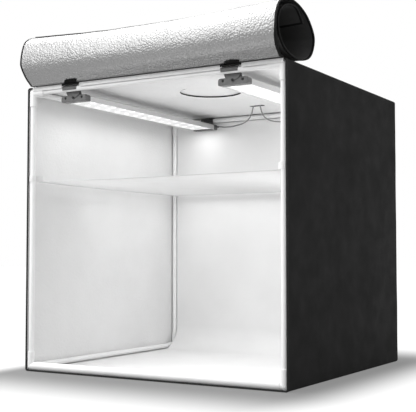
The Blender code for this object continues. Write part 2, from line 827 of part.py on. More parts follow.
def make_bar(side_name, centre_x, lead_side, finishes):
    """A light bar between two hooks. It slides with them on the rails and tilts on their pivot screws."""
    slide = guide(f"{side_name}_hooks_slide", (centre_x, 0, rail_top_z))
    tilt = guide(f"{side_name}_bar_tilt", (0, 0, -pivot_below_rail), slide)
    plastic, metal, board, steel = finishes
    hook = hook_mesh()
    place(f"{side_name}_hook_front", hook, plastic, (0, rail_front_y, 0), 0, slide)
    place(f"{side_name}_hook_rear", hook, plastic, (0, rail_back_y, 0), math.pi, slide)
    cap = cap_mesh()
    place(f"{side_name}_cap_front", cap, plastic, (0, bar_front_y, 0), 0, tilt)
    place(f"{side_name}_cap_rear", cap, plastic, (0, bar_back_y, 0), math.pi, tilt)
    length = bar_back_y - bar_front_y - 2 * cap_depth - 2 * gap
    middle_y = (bar_front_y + bar_back_y) / 2
    place(f"{side_name}_housing", housing_mesh(length), metal, (0, middle_y, 0), 0, tilt)
    place(f"{side_name}_led_board", board_mesh(length), board, (0, middle_y, 0), 0, tilt)
    screw = pivot_screw_mesh()
    head_set = hook_cloth + hook_eye_boss + 2 * gap
    place(f"{side_name}_pivot_front", screw, steel, (0, bar_front_y - head_set, 0), 0, tilt)
    place(f"{side_name}_pivot_rear", screw, steel, (0, bar_back_y + head_set, 0), math.pi, tilt)
    gland_x = lead_side * (cap_width / 2 + gap)
    gland_place = (gland_x, bar_back_y - gland_from_cap_face, bar_rim + gland_above_rim)
    place(f"{side_name}_gland", gland_mesh(lead_side), plastic, gland_place, 0, tilt)


def lead_piece(name, fine, material, trim_start, trim_end):
    """A stretch of lead as a round cord along a fine polyline, trimmed where it meets another piece."""
    points = even_points(fine, lead_step_diameters * lead_diameter, trim_start, trim_end)
    curve = bpy.data.curves.new(name, "CURVE")
    curve.dimensions = "3D"
    curve.bevel_depth = lead_diameter / 2
    curve.bevel_resolution = 2
    curve.use_fill_caps = True
    spline = curve.splines.new("POLY")
    spline.points.add(len(points) - 1)
    for target, point in zip(spline.points, points):
        target.co = (*point, 1)
    curve.materials.append(material)
    obj = bpy.data.objects.new(name, curve)
    bpy.context.scene.collection.objects.link(obj)


def even_points(fine, spacing, trim_start, trim_end):
    """Points at even distances along a fine polyline, without its trimmed ends."""
    lengths = [0.0]
    for a, b in zip(fine, fine[1:]):
        lengths.append(lengths[-1] + (b - a).length)
    first = trim_start
    last = lengths[-1] - trim_end
    count = max(2, round((last - first) / spacing))
    points = []
    for step in range(count + 1):
        target = first + (last - first) * step / count
        index = next((i for i in range(1, len(lengths)) if lengths[i] >= target), len(lengths) - 1)
        share = (target - lengths[index - 1]) / (lengths[index] - lengths[index - 1])
        points.append(fine[index - 1].lerp(fine[index], share))
    return points


def lead_socket_mesh(side):
    """A barrel socket: a neck, a round body, and a bore with its pin."""
    neck = socket_plug_neck_diameter / 2
    body = socket_plug_diameter / 2
    bore = socket_plug_bore_diameter / 2
    pin = socket_plug_pin_diameter / 2
    end = socket_plug_length
    floor = end - socket_plug_bore_depth
    chamfer = socket_wall / 2
    profile = (
        (0, 0), (neck, 0), (neck, socket_plug_neck_length), (body - chamfer, socket_plug_neck_length),
        (body, socket_plug_neck_length + chamfer), (body, end), (bore, end), (bore, floor), (pin, floor),
        (pin, end - chamfer), (0, end - chamfer),
    )
    return to_mesh("lead_socket", turned(profile, tube_sides, (0, 0, 0), (side, 0, 0)), smooth=True)


def make_lead(side_name, route, slot_point, away, lead_material, socket_material):
    """A bar's lead, in two stretches that meet in the slot, and the socket on its end."""
    steps = 24
    fine = smooth_curve(route, steps)
    split = slot_point * steps
    lead_piece(f"{side_name}_lead_inside", fine[:split + 1], lead_material, 0, gap / 2)
    lead_piece(f"{side_name}_lead_outside", fine[split:], lead_material, gap / 2, 0)
    end = route[-1]
    place(f"{side_name}_lead_socket", lead_socket_mesh(away), socket_material, (end[0] + away * gap, end[1], end[2]))


def build():
    clear_scene()
    make_posts(white_coating())
    make_rails(white_coating())
    make_corners(white_plastic())
    top = make_cover(black_cloth())
    liner = make_lining(silver_cloth())
    cut_top_openings((top, liner))
    make_binding(black_tape())
    make_backdrop(white_sheet())
    make_diffuser(diffuser_cloth_finish(), white_strap())
    make_front_cover(silver_cloth())
    make_top_flap(black_cloth())
    finishes = (grey_plastic(), aluminium(), lit_board(), black_steel())
    make_bar("left", -width / 2 + left_bar_inset, 1, finishes)
    make_bar("right", width / 2 - right_bar_inset, -1, finishes)
    lead = grey_lead()
    make_lead("left", left_lead_route, left_slot_point, -1, lead, black_plastic())
    make_lead("right", right_lead_route, right_slot_point, 1, lead, black_plastic())
    bpy.context.view_layer.update()


build()
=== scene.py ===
import math
from functools import partial

import bmesh
import bpy
import numpy as np
from mathutils import Matrix, Vector, noise


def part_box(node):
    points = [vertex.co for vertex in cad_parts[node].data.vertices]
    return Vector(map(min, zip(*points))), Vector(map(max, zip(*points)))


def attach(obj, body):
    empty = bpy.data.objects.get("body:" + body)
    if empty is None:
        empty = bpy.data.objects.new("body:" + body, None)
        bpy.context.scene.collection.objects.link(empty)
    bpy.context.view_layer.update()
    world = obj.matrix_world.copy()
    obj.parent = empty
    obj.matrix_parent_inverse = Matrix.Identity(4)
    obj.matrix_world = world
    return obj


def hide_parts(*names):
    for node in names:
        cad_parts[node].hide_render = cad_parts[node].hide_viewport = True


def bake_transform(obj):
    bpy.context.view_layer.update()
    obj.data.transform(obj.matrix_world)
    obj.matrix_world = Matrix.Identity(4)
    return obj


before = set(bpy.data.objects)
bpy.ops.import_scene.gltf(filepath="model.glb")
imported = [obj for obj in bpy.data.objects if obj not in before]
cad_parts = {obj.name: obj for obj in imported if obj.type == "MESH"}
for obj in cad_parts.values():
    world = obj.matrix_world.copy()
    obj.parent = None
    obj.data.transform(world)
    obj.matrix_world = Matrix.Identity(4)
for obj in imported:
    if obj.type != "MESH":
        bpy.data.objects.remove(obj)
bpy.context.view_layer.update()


def span(*nodes):
    """Lowest and highest corner of some CAD nodes together."""
    boxes = [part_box(node) for node in nodes]
    low = np.min([low for low, high in boxes], axis=0)
    high = np.max([high for low, high in boxes], axis=0)
    return low, high


def middle(node):
    low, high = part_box(node)
    return (Vector(low) + Vector(high)) / 2


# Places taken from the CAD model.
cover_low, cover_high = span("cover_bottom", "cover_top", "cover_left", "cover_right", "cover_rear")
lining_low, lining_high = span("lining")
binding_low, binding_high = span("front_binding")
rail_front = middle("top_rail_front")
rail_rear = middle("top_rail_rear")
rail_bottom = middle("bottom_rail_front")
post_x = abs(middle("post_front_left").x)
bar_names = ("left", "right")
pivots = {side: middle(f"{side}_pivot_front") for side in bar_names}

# Clearance between pieces that touch.
gap = 0.0003

# Cloth of the box.
cover_cloth = 0.0009
lining_cloth = 0.0007
cover_corner_radius = 0.0050
cover_bulge = 0.0026

# Shallow creases of the cloth's sides: where each starts and ends in (y, z), half width and height.
cover_creases = (
    ((0.09, 0.03), (0.25, 0.30), 0.013, 0.0009),
    ((0.03, 0.235), (0.27, 0.300), 0.010, 0.0011),
    ((-0.28, 0.345), (0.12, 0.325), 0.012, 0.0008),
    ((-0.10, 0.300), (0.20, 0.385), 0.009, 0.0006),
)
cover_ripple = 0.0004
top_sag = 0.0022
lining_wave = 0.0008
edge_wave = 0.0005
cover_border = 0.05
lining_border = 0.03
seam_shares = (0, 0.3, 0.6, 1.0)
grid_pitch = 0.0085

# Folded tape round the front edges, and its stitching.
tape_thickness = 0.0005
tape_flange = 0.0045
front_tape_face = 0.0029
tape_corner_steps = 8
tape_pitch = 0.02
tape_bevel_across = 0.0005
tape_bevel_back = 0.0004
tape_round = 0.0006
tape_step_start = 0.0012
tape_step_end = 0.0004
tape_under = 0.0001
stitch_length = 0.0030
stitch_pitch = 0.0044
stitch_thickness = 0.0005
stitch_from_edge = 0.0032

# Openings in the top.
hole_diameter = 0.130
hole_centre = (0.016, -0.064)
slot_size = (0.038, 0.016)
slot_centre = (0.017, 0.143)
rim_tape = 0.0013
rim_proud = 0.0004
cutter_overrun = 0.01
cut_steps = 96

# Frame tubes.
tube_radius = 0.00575
socket_radius = 0.0072

# Backdrop.
backdrop_cloth = 0.0007
backdrop_width = 0.565
backdrop_sweep = 0.060
backdrop_ramp = 0.052
backdrop_lap_angle = math.radians(145)
backdrop_wave = 0.0009
backdrop_wave_from = 0.02
backdrop_wave_over = 0.1

# Diffuser and its straps.
diffuser_cloth = 0.0006
diffuser_hem = 0.011
diffuser_hem_cloth = 0.0005
hem_pitch = 0.012
diffuser_sag = 0.0040
diffuser_edge_sag = 0.0012
diffuser_ripple = 0.0005
diffuser_through_share = 0.6
diffuser_clear_share = 0.16
strap_cloth = 0.0010
strap_tail = 0.016
strap_wrap_angle = math.radians(300)

# Rolled front cover.
roll_cloth = 0.0018
roll_half_depth = 0.080
roll_half_height = 0.053
roll_behind_front = 0.039
roll_left_swell_share = 0.78
roll_sag = 0.0085
roll_seam_setback = 0.0010
roll_seam_lift = 0.0011
roll_end_inset = 0.0005
roll_left_seam_inset = 0.016
roll_right_seam_inset = 0.006
roll_seam_run_share = 0.14
roll_steps_per_span = 10
roll_sections = 130
roll_wave = 0.0011
roll_fine_share = 0.35
roll_calm_share = 0.12
roll_sharp_degrees = 60
roll_tape_width = 0.0034
roll_tape_thickness = 0.0007
seam_strip_cloth = 0.0004
seam_strip_left_inset = 0.014
seam_strip_right_inset = 0.006
seam_strip_low_lap = 0.0052
seam_strip_below_top = 0.0002

# Painted shade: a low ridge of dark tape just behind the roll's crest, proud at both ends, standing in for the
# shaded line where the roll turns away.
crest_shade_column_share = 0.285
crest_shade_width = 0.007
crest_shade_left_height = 0.0032
crest_shade_middle_height = 0.0020
crest_shade_right_height = 0.0022

# Painted shade: black patches on the roll above the front hooks, standing in for the shade in the gap where each
# hook passes under the cloth, with a ragged upper edge for the shade's soft fade.
shade_patch_width = 0.032
shade_patch_shift = 0.007
shade_patch_thickness = 0.0005
shade_patch_from_seam = 0.0030
shade_patch_length = 0.0115
shade_patch_ragged = 0.0060
shade_patch_lean_share = 0.62
shade_patch_columns = 48
shade_patch_rows = 26
shade_patch_round_share = 0.22
shade_patch_edge_scale = 9.0

# The rolled cloth's route across the roll, from its seam to its inner free edge, as in the CAD model.
# Each pair gives shares of the roll's half depth (to the back) and half height (up).
roll_route_shares = (
    (-0.90, -0.66), (-1.00, -0.19), (-0.93, 0.38), (-0.70, 0.82), (-0.11, 1.02), (0.56, 0.75),
    (0.97, 0.19), (0.96, -0.30), (0.69, -0.74), (0.11, -0.93), (-0.52, -0.75), (-0.84, -0.28),
    (-0.84, 0.28), (-0.55, 0.70), (-0.05, 0.85), (0.21, 0.66), (0.39, 0.38),
)

# Flap over the round hole.
flap_size = 0.166
flap_cloth = 0.0018
flap_corner = 0.012
flap_hem = 0.010
flap_dip = 0.0003
flap_clearance = 0.0005
flap_step_share = 0.01
flap_inner_shares = (0.7, 0.45, 0.2)

# Screws beside the pivots.
cap_screw_pitch = 0.021
cap_screw_head = 0.0058
cap_screw_height = 0.0012
cap_screw_slot = 0.0008
cap_screw_depth = 0.0004
cap_screw_flat_share = 0.6
cap_screw_cross_share = 0.62
cap_screw_sunk = 0.0019
cap_screw_turn = 0.5
weld_distance = 0.000003

# Lit boards: two rows of chips, half a pitch apart, and how bright the chips and the board look.
chip_pitch = 0.0347
chip_row = 0.014
chip_glow_radius = 0.0066
chip_glow = 0.8
board_glow = 0.24
chip_core_share = 0.75
chip_halo_share = 1.15

# Leads, with the CAD model's routes: from the gland to the slot, and then on the tent's top.
lead_diameter = 0.0030
lead_sides = 12
lead_bar_points = 4
lead_steps = 12
lead_routes = {
    "left": (
        (-0.1503, 0.2547, 0.5570), (-0.1440, 0.2546, 0.5562), (-0.1280, 0.2490, 0.5538),
        (-0.0980, 0.2370, 0.5525), (-0.0650, 0.2200, 0.5540), (-0.0390, 0.2000, 0.5580),
        (-0.0140, 0.1720, 0.5655), (-0.0020, 0.1560, 0.5735), (0.0070, 0.1440, 0.5840),
        (0.0088, 0.1380, 0.5905), (0.0050, 0.1290, 0.5935), (-0.0060, 0.1190, 0.5905),
        (-0.0220, 0.1120, 0.5875), (-0.0420, 0.1090, 0.5870), (-0.0560, 0.1084, 0.5890),
        (-0.0640, 0.1084, 0.5901),
    ),
    "right": (
        (0.1423, 0.2547, 0.5570), (0.1360, 0.2546, 0.5562), (0.1100, 0.2430, 0.5525),
        (0.0750, 0.2220, 0.5495), (0.0420, 0.2000, 0.5490), (0.0280, 0.1850, 0.5515),
        (0.0225, 0.1680, 0.5580), (0.0220, 0.1560, 0.5680), (0.0230, 0.1480, 0.5780),
        (0.0240, 0.1430, 0.5840), (0.0250, 0.1370, 0.5905), (0.0300, 0.1285, 0.5935),
        (0.0410, 0.1190, 0.5905), (0.0570, 0.1120, 0.5875), (0.0770, 0.1090, 0.5870),
        (0.0910, 0.1084, 0.5890), (0.0990, 0.1084, 0.5901),
    ),
}
lead_slot_points = {"left": 8, "right": 9}

# Camera at the photograph's angle.
image_width = 416
sensor_width = 36
camera_place = (1.0202, -1.7499, 0.2371)
camera_yaw = math.radians(30.946)
camera_pitch = math.radians(3.008)
focal_length_pixels = 935.98
clip_from = 0.05
clip_to = 60

# Lamps: size, place, the point that they face, and radiant power.
overhead_lamp = ((1.3, 0.8), (-0.95, -0.18, 2.5), (0.0, -0.2, 0.6), 76.0)
side_lamp = ((1.8, 1.8), (3.1, 0.2, 1.2), (0.3, 0.0, 0.3), 5.0)
front_lamp = ((1.4, 1.4), (-0.95, -1.60, 1.75), (0.0, -0.25, 0.6), 34.0)
low_lamp = ((0.9, 0.25), (-0.1, -0.75, 0.02), (-0.1, -0.70, 0.6), 1.5)
bar_lamp_power = 0.30
bar_lamp_drop = 0.0015
upper_fill_power = 0.22
lower_fill_power = 0.52
lower_fill_size = (0.53, 0.34)
lower_fill_back = 0.08
fill_from_diffuser = 0.006
upper_fill_size = (0.38, 0.50)
upper_fill_right = 0.10
wall_fill_power = 0.17
wall_fill_size = (0.50, 0.05)
wall_fill_from_wall = 0.012
world_light = 0.72

# The floor as the camera and mirror-like surfaces see it, and as it lights the tent.
floor_seen = 0.07
floor_as_light = 0.14
# Painted shadow: the floor's glow that the camera sees is dimmer near the tent, rising to its full level between
# these distances from the tent's outline, with distances off its left and right sides weighted by these factors.
floor_glow_in_painted_shadow = 0.24
floor_far_glow = 1.00
painted_shadow_from = 0.03
painted_shadow_to = 0.33
painted_shadow_left_fade = 3.5
painted_shadow_right_fade = 2.0
floor_half_size = 12
floor_drop = 0.0008


def grey(level):
    """A grey as a picture shows it, from 0 to 255, as linear light."""
    share = level / 255
    value = share / 12.92 if share <= 0.04045 else ((share + 0.055) / 1.055) ** 2.4
    return (value, value, value)


def smooth_step(share):
    share = np.clip(share, 0, 1)
    return share * share * (3 - 2 * share)


# Materials

def new_material(name, colour, roughness, metallic=0.0):
    material = bpy.data.materials.new(name)
    material.use_nodes = True
    shader = material.node_tree.nodes["Principled BSDF"]
    shader.inputs["Base Color"].default_value = (*colour, 1)
    shader.inputs["Roughness"].default_value = roughness
    shader.inputs["Metallic"].default_value = metallic
    material.diffuse_color = (*colour, 1)
    return material


def add_node(owner, kind, **inputs):
    """Adds a shader node to a material or to the world."""
    node = owner.node_tree.nodes.new(kind)
    for name, value in inputs.items():
        node.inputs[name.replace("_", " ")].default_value = value
    return node


def link(owner, output, target):
    owner.node_tree.links.new(output, target)


def shader_of(material):
    return material.node_tree.nodes["Principled BSDF"]


def place_in(material):
    """The piece's own coordinates, in metres."""
    return add_node(material, "ShaderNodeTexCoord").outputs["Object"]


def axes_in(material):
    place = add_node(material, "ShaderNodeSeparateXYZ")
    link(material, place_in(material), place.inputs["Vector"])
    return place.outputs


def noise_level(material, scale, detail=3.0, stretch=(1, 1, 1)):
    """Noise from 0 to 1 at so many cells per metre."""
    mapping = add_node(material, "ShaderNodeMapping", Scale=stretch)
    link(material, place_in(material), mapping.inputs["Vector"])
    texture = add_node(material, "ShaderNodeTexNoise", Scale=scale, Detail=detail)
    link(material, mapping.outputs["Vector"], texture.inputs["Vector"])
    return texture.outputs["Fac"]


def weave_level(material, pitch):
    """Crossing threads: the sum of waves along the three axes."""
    total = None
    for axis in "XYZ":
        wave = add_node(material, "ShaderNodeTexWave", Scale=math.tau / (20 * pitch), Distortion=0.6, Detail=1.0)
        wave.bands_direction = axis
        link(material, place_in(material), wave.inputs["Vector"])
        total = wave.outputs["Fac"] if total is None else calculated(material, "ADD", total, wave.outputs["Fac"])
    return total


def pebble_level(material, pitch):
    """Small round bosses close together, like embossed foil."""
    cells = add_node(material, "ShaderNodeTexVoronoi")
    cells.feature = "SMOOTH_F1"
    cells.inputs["Scale"].default_value = 1 / pitch
    cells.inputs["Smoothness"].default_value = 0.55
    link(material, place_in(material), cells.inputs["Vector"])
    return calculated(material, "SUBTRACT", 1.0, cells.outputs["Distance"])


def calculated(owner, operation, first, second):
    node = add_node(owner, "ShaderNodeMath")
    node.operation = operation
    for socket, value in zip(node.inputs, (first, second)):
        if isinstance(value, (int, float)):
            socket.default_value = value
        else:
            link(owner, value, socket)
    return node.outputs[0]


def mapped(owner, level, low, high, start=0.3, end=0.7, kind="LINEAR"):
    """Maps a range of a level, by itself the usual range of a noise, to a range of values."""
    node = add_node(owner, "ShaderNodeMapRange", From_Min=start, From_Max=end, To_Min=low, To_Max=high)
    node.interpolation_type = kind
    link(owner, level, node.inputs["Value"])
    return node.outputs["Result"]


def vary_colour(material, level, dark, light):
    """Blends between two colours by a level."""
    mix = add_node(material, "ShaderNodeMix")
    mix.data_type = "RGBA"
    for name, colour in (("A", dark), ("B", light)):
        socket = next(s for s in mix.inputs if s.name == name and s.type == "RGBA")
        socket.default_value = (*colour, 1)
    link(material, mapped(material, level, 0.0, 1.0), mix.inputs["Factor"])
    result = next(s for s in mix.outputs if s.type == "RGBA")
    link(material, result, shader_of(material).inputs["Base Color"])


def bump(material, layers):
    """Adds layers of (level, height in metres), each on top of the one before."""
    previous = None
    for level, height in layers:
        node = add_node(material, "ShaderNodeBump", Distance=height, Strength=1.0)
        link(material, level, node.inputs["Height"])
        if previous is not None:
            link(material, previous, node.inputs["Normal"])
        previous = node.outputs["Normal"]
    link(material, previous, shader_of(material).inputs["Normal"])


# Finishes: grey level, roughness, metallic share and specular level; then the noise by which colour and roughness
# vary, with the lowest and highest value; then layers of relief, with their heights.
along_bar = (60, 3.0, (40, 1, 40))
finishes = {
    "powder_coat": (
        247, 0.36, 0, None, ((45,), 245, 249), ((160,), 0.30, 0.42), [(noise_level, (900, 2.0), 0.00006)]),
    "moulded_white": (
        246, 0.45, 0, None, ((70,), 244, 248), ((300,), 0.40, 0.52), [(noise_level, (1800, 2.0), 0.00005)]),
    # Coarse black cloth with a dull coating: threads, light dust and broad tone changes.
    "black_oxford": (
        33, 0.8, 0, 0.1, ((11, 4.0), 31, 35), ((28,), 0.74, 0.88),
        [(noise_level, (420,), 0.00016), (weave_level, (0.0011,), 0.00012)]),
    "black_tape": (32, 0.7, 0, 0.25, ((90,), 28, 37), ((200,), 0.62, 0.82), [(weave_level, (0.0012,), 0.00018)]),
    # Silver foil laminate with its pebbled emboss, inside the tent and on the roll, where it shows close up.
    "silver_lining": (
        233, 0.42, 0.08, None, ((9,), 231, 236), ((120,), 0.36, 0.50),
        [(noise_level, (14, 2.0), 0.0016), (pebble_level, (0.0046,), 0.00045)]),
    "silver_roll": (
        133, 0.42, 0.8, None, ((420, 2.0), 126, 140), ((350,), 0.38, 0.47),
        [(noise_level, (40, 2.0), 0.0008), (pebble_level, (0.0034,), 0.0009)]),
    # The black inner side of the rolled cover, lightened as painted light where it lies in shade; the tape on its
    # ends; and the black of the painted shade patches above the hooks.
    "roll_inside_painted_light": (72, 0.85, 0, None, ((20,), 68, 76), None, [(weave_level, (0.0011,), 0.00012)]),
    "edge_tape": (17, 0.75, 0, 0.15, ((90,), 13, 21), None, [(weave_level, (0.0012,), 0.00015)]),
    "painted_shade_black": (22, 0.95, 0, 0.1, ((500,), 15, 30), None, [(noise_level, (900,), 0.0004)]),
    "white_sheet": (
        240, 0.55, 0, None, ((7,), 236, 243), ((90,), 0.50, 0.62),
        [(noise_level, (5, 2.0), 0.0008), (noise_level, (1300, 2.0), 0.00004)]),
    "diffuser_cloth": (234, 0.65, 0, None, ((30,), 229, 238), None, [(weave_level, (0.0008,), 0.00008)]),
    "white_webbing": (244, 0.8, 0, None, ((120,), 240, 248), None, [(weave_level, (0.0014,), 0.0002)]),
    "cap_plastic": (
        92, 0.42, 0, None, ((150,), 85, 100), ((500,), 0.34, 0.50), [(noise_level, (2600, 2.0), 0.00006)]),
    "hook_plastic": (
        88, 0.42, 0, None, ((150,), 81, 96), ((500,), 0.34, 0.50), [(noise_level, (2600, 2.0), 0.00006)]),
    # Extruded channel, with fine lines along its length.
    "brushed_aluminium": (
        214, 0.34, 0.7, None, (along_bar, 206, 222), (along_bar, 0.28, 0.42), [(noise_level, along_bar, 0.00003)]),
    "lit_board": (226, 0.4, 0, None, ((200,), 222, 230), None, []),
    "dark_steel": (20, 0.5, 0.3, None, ((900,), 14, 28), ((1200,), 0.42, 0.58), []),
    "lead_jacket": (126, 0.5, 0, None, ((90,), 118, 134), ((400,), 0.42, 0.58), []),
    "black_plastic": (
        40, 0.45, 0, None, ((240,), 34, 48), ((700,), 0.38, 0.54), [(noise_level, (2400, 2.0), 0.00005)]),
}


def make_material(name):
    """A material from the table of finishes."""
    level, roughness, metallic, specular, colour, sheen, layers = finishes[name]
    material = new_material(name, grey(level), roughness, metallic)
    noise_of, dark, light = colour
    vary_colour(material, noise_level(material, *noise_of), grey(dark), grey(light))
    if sheen:
        noise_of, low, high = sheen
        level = mapped(material, noise_level(material, *noise_of), low, high)
        link(material, level, shader_of(material).inputs["Roughness"])
    if specular is not None:
        shader_of(material).inputs["Specular IOR Level"].default_value = specular
    if layers:
        bump(material, [(level_of(material, *values), height) for level_of, values, height in layers])
    return material


def diffuser_cloth_material():
    """Thin white nylon that lets light and some sight through."""
    material = make_material("diffuser_cloth")
    through = add_node(material, "ShaderNodeBsdfTranslucent", Color=(*grey(238), 1))
    cloth = add_node(material, "ShaderNodeMixShader", Fac=diffuser_through_share)
    link(material, shader_of(material).outputs["BSDF"], cloth.inputs[1])
    link(material, through.outputs["BSDF"], cloth.inputs[2])
    clear = add_node(material, "ShaderNodeBsdfTransparent")
    whole = add_node(material, "ShaderNodeMixShader", Fac=diffuser_clear_share)
    link(material, cloth.outputs["Shader"], whole.inputs[1])
    link(material, clear.outputs["BSDF"], whole.inputs[2])
    link(material, whole.outputs["Shader"], material.node_tree.nodes["Material Output"].inputs["Surface"])
    return material


def lit_board(centre_x, first_y):
    """White board whose two rows of lit chips each glow in a round spot."""
    material = make_material("lit_board")
    find = partial(calculated, material)
    place = axes_in(material)
    across = find("SUBTRACT", place["X"], centre_x)
    off_row = find("SUBTRACT", find("ABSOLUTE", across, 0.0), chip_row)
    along = find("ADD", place["Y"], find("MULTIPLY", find("SIGN", across, 0.0), chip_pitch / 4))
    off_chip = find("PINGPONG", find("SUBTRACT", along, first_y + chip_pitch / 4), chip_pitch / 2)
    distance = find("SQRT", find("ADD", find("POWER", off_row, 2.0), find("POWER", off_chip, 2.0)), 0.0)
    core = chip_glow_radius * chip_core_share
    glow = mapped(material, distance, chip_glow, board_glow, core, chip_glow_radius * chip_halo_share)
    shader = shader_of(material)
    shader.inputs["Emission Color"].default_value = (1, 1, 1, 1)
    link(material, glow, shader.inputs["Emission Strength"])
    return material


# Mesh helpers

def new_object(name, data, *materials):
    obj = bpy.data.objects.new(name, data)
    bpy.context.scene.collection.objects.link(obj)
    for material in materials:
        data.materials.append(material)
    return obj


def aim(obj, place, direction):
    """Puts a lamp or the camera in its place, looking along a direction."""
    obj.location = place
    obj.rotation_mode = "QUATERNION"
    obj.rotation_quaternion = direction.to_track_quat("-Z", "Y")


def grid_faces(rows, columns, close_rows=False, close_columns=False):
    index = np.arange(rows * columns).reshape(rows, columns)
    if close_rows:
        index = np.vstack([index, index[:1]])
    if close_columns:
        index = np.hstack([index, index[:, :1]])
    corners = (index[:-1, :-1], index[:-1, 1:], index[1:, 1:], index[1:, :-1])
    return np.stack(corners, axis=-1).reshape(-1, 4)


def sheet_object(name, points, *materials):
    """One-sided sheet through a grid of points."""
    rows, columns = points.shape[:2]
    mesh = bpy.data.meshes.new(name)
    mesh.from_pydata(points.reshape(-1, 3).tolist(), [], grid_faces(rows, columns).tolist())
    return new_object(name, mesh, *materials)


def mesh_of(bm, name, outwards=False):
    """Turns a bmesh into a mesh, with its faces looking outwards if that is asked for."""
    if outwards:
        bmesh.ops.recalc_face_normals(bm, faces=bm.faces)
    mesh = bpy.data.meshes.new(name)
    bm.to_mesh(mesh)
    bm.free()
    return mesh


def grid_points(x, y, z):
    """A grid of places, from coordinates that change along its rows, its columns or not at all."""
    return np.stack(np.broadcast_arrays(x, y, z), axis=-1)


def thicken(obj, thickness, offset=0.0, back=0, rim=0):
    """Gives a sheet its thickness, with other materials on its back and rim if they are asked for."""
    solid = obj.modifiers.new("thickness", "SOLIDIFY")
    solid.thickness = thickness
    solid.offset = offset
    solid.use_even_offset = True
    solid.material_offset = back
    solid.material_offset_rim = rim
    return obj


def settle(obj, sharp_degrees=40):
    """Turns an object's modifiers into its mesh, and shades it smooth between sharp edges."""
    bpy.context.view_layer.update()
    graph = bpy.context.evaluated_depsgraph_get()
    mesh = bpy.data.meshes.new_from_object(obj.evaluated_get(graph))
    obj.modifiers.clear()
    obj.data = mesh
    mesh.shade_smooth()
    mesh.set_sharp_from_angle(angle=math.radians(sharp_degrees))
    return obj


def cut_with(obj, tool):
    """Cuts an object by a mesh, and removes the tool."""
    helper = new_object("tool", tool)
    boolean = obj.modifiers.new("cut", "BOOLEAN")
    boolean.operation = "DIFFERENCE"
    boolean.object = helper
    settle(obj)
    bpy.data.objects.remove(helper, do_unlink=True)
    return obj


def prism(outline, low, high):
    """A closed upright body over an outline of (x, y) points."""
    bm = bmesh.new()
    base = bm.faces.new([bm.verts.new((x, y, low)) for x, y in outline])
    made = bmesh.ops.extrude_face_region(bm, geom=[base], use_keep_orig=True)
    tops = [v for v in made["geom"] if isinstance(v, bmesh.types.BMVert)]
    bmesh.ops.translate(bm, vec=(0, 0, high - low), verts=tops)
    return mesh_of(bm, "prism", True)


def arc(centre, radius, first, last, steps):
    angles = np.linspace(first, last, steps + 1)
    return [(centre[0] + radius * math.cos(a), centre[1] + radius * math.sin(a)) for a in angles]


def rounded_outline(long, wide, corner, steps):
    """A rectangle with round corners, about its own middle."""
    x = long / 2 - corner
    y = wide / 2 - corner
    points = []
    for quarter, (side_x, side_y) in enumerate(((x, y), (-x, y), (-x, -y), (x, -y))):
        first = quarter * math.pi / 2
        points += arc((side_x, side_y), corner, first, first + math.pi / 2, steps)
    return points


def smooth_curve(points, steps):
    """Points along a smooth curve through the given ones, with a number of steps in each span."""
    points = np.array(points, float)
    ends = np.vstack([2 * points[0] - points[1], points, 2 * points[-1] - points[-2]])
    shares = np.arange(steps)[:, None] / steps
    square = shares**2
    cube = shares**3
    bend = 3 * square - 2 * cube
    curve = []
    for before, start, end, after in zip(ends, ends[1:], ends[2:], ends[3:]):
        leave = (end - before) / 2
        arrive = (after - start) / 2
        turned = leave * (cube - 2 * square + shares) + arrive * (cube - square)
        curve.append(start * (1 - bend) + end * bend + turned)
    return np.vstack(curve + [points[-1:]])


def rough(points, scale, seed, octaves=2):
    """Smooth random heights, about -1 to 1, at points in space."""
    shift = Vector((seed * 1.7, seed * 3.1, seed * 0.9))
    flat = np.asarray(points).reshape(-1, 3)
    values = [noise.fractal(Vector(p) * scale + shift, 1.0, 2.0, octaves) for p in flat]
    return np.array(values).reshape(np.asarray(points).shape[:-1])


def swept(name, rings, closed, material):
    """A body through rings of points."""
    rows = len(rings)
    columns = len(rings[0])
    points = np.array(rings, float).reshape(-1, 3)
    faces = grid_faces(rows, columns, closed, True).tolist()
    if not closed:
        faces.append(list(range(columns)))
        faces.append(list(range((rows - 1) * columns, rows * columns)))
    mesh = bpy.data.meshes.new(name)
    mesh.from_pydata(points.tolist(), [], faces)
    bm = bmesh.new()
    bm.from_mesh(mesh)
    bmesh.ops.recalc_face_normals(bm, faces=bm.faces)
    bm.to_mesh(mesh)
    bm.free()
    mesh.shade_smooth()
    mesh.set_sharp_from_angle(angle=math.radians(40))
    return new_object(name, mesh, material)


def tube_rings(path, radius, sides):
    """Round rings along a path, turned as little as the path allows."""
    path = [Vector(p) for p in path]
    tangents = [(b - a).normalized() for a, b in zip([path[0]] + path[:-1], path[1:] + [path[-1]])]
    across = tangents[0].orthogonal().normalized()
    rings = []
    for point, tangent in zip(path, tangents):
        across = (across - tangent * across.dot(tangent)).normalized()
        other = tangent.cross(across)
        angles = [math.tau * step / sides for step in range(sides)]
        rings.append([point + radius * (across * math.cos(a) + other * math.sin(a)) for a in angles])
    return rings


# Cloth of the box

# Each side's axis, and whether it faces down or up that axis.
sides = {"left": (0, -1), "right": (0, 1), "rear": (1, 1), "bottom": (2, -1), "top": (2, 1)}


def in_plane(side):
    """The two axes that a side lies along."""
    return [axis for axis in range(3) if axis != sides[side][0]]


def grid_lines(low, high, radius, round_low):
    """Places of a panel's grid lines, closer together where its border is rounded."""
    border = radius * np.array(seam_shares)
    inner_low = low + radius if round_low else low
    count = max(2, round((high - radius - inner_low) / grid_pitch))
    inside = np.linspace(inner_low, high - radius, count + 1)
    first = low + border[:-1] if round_low else np.array([])
    last = high - border[:-1][::-1]
    return np.concatenate([first, inside, last])


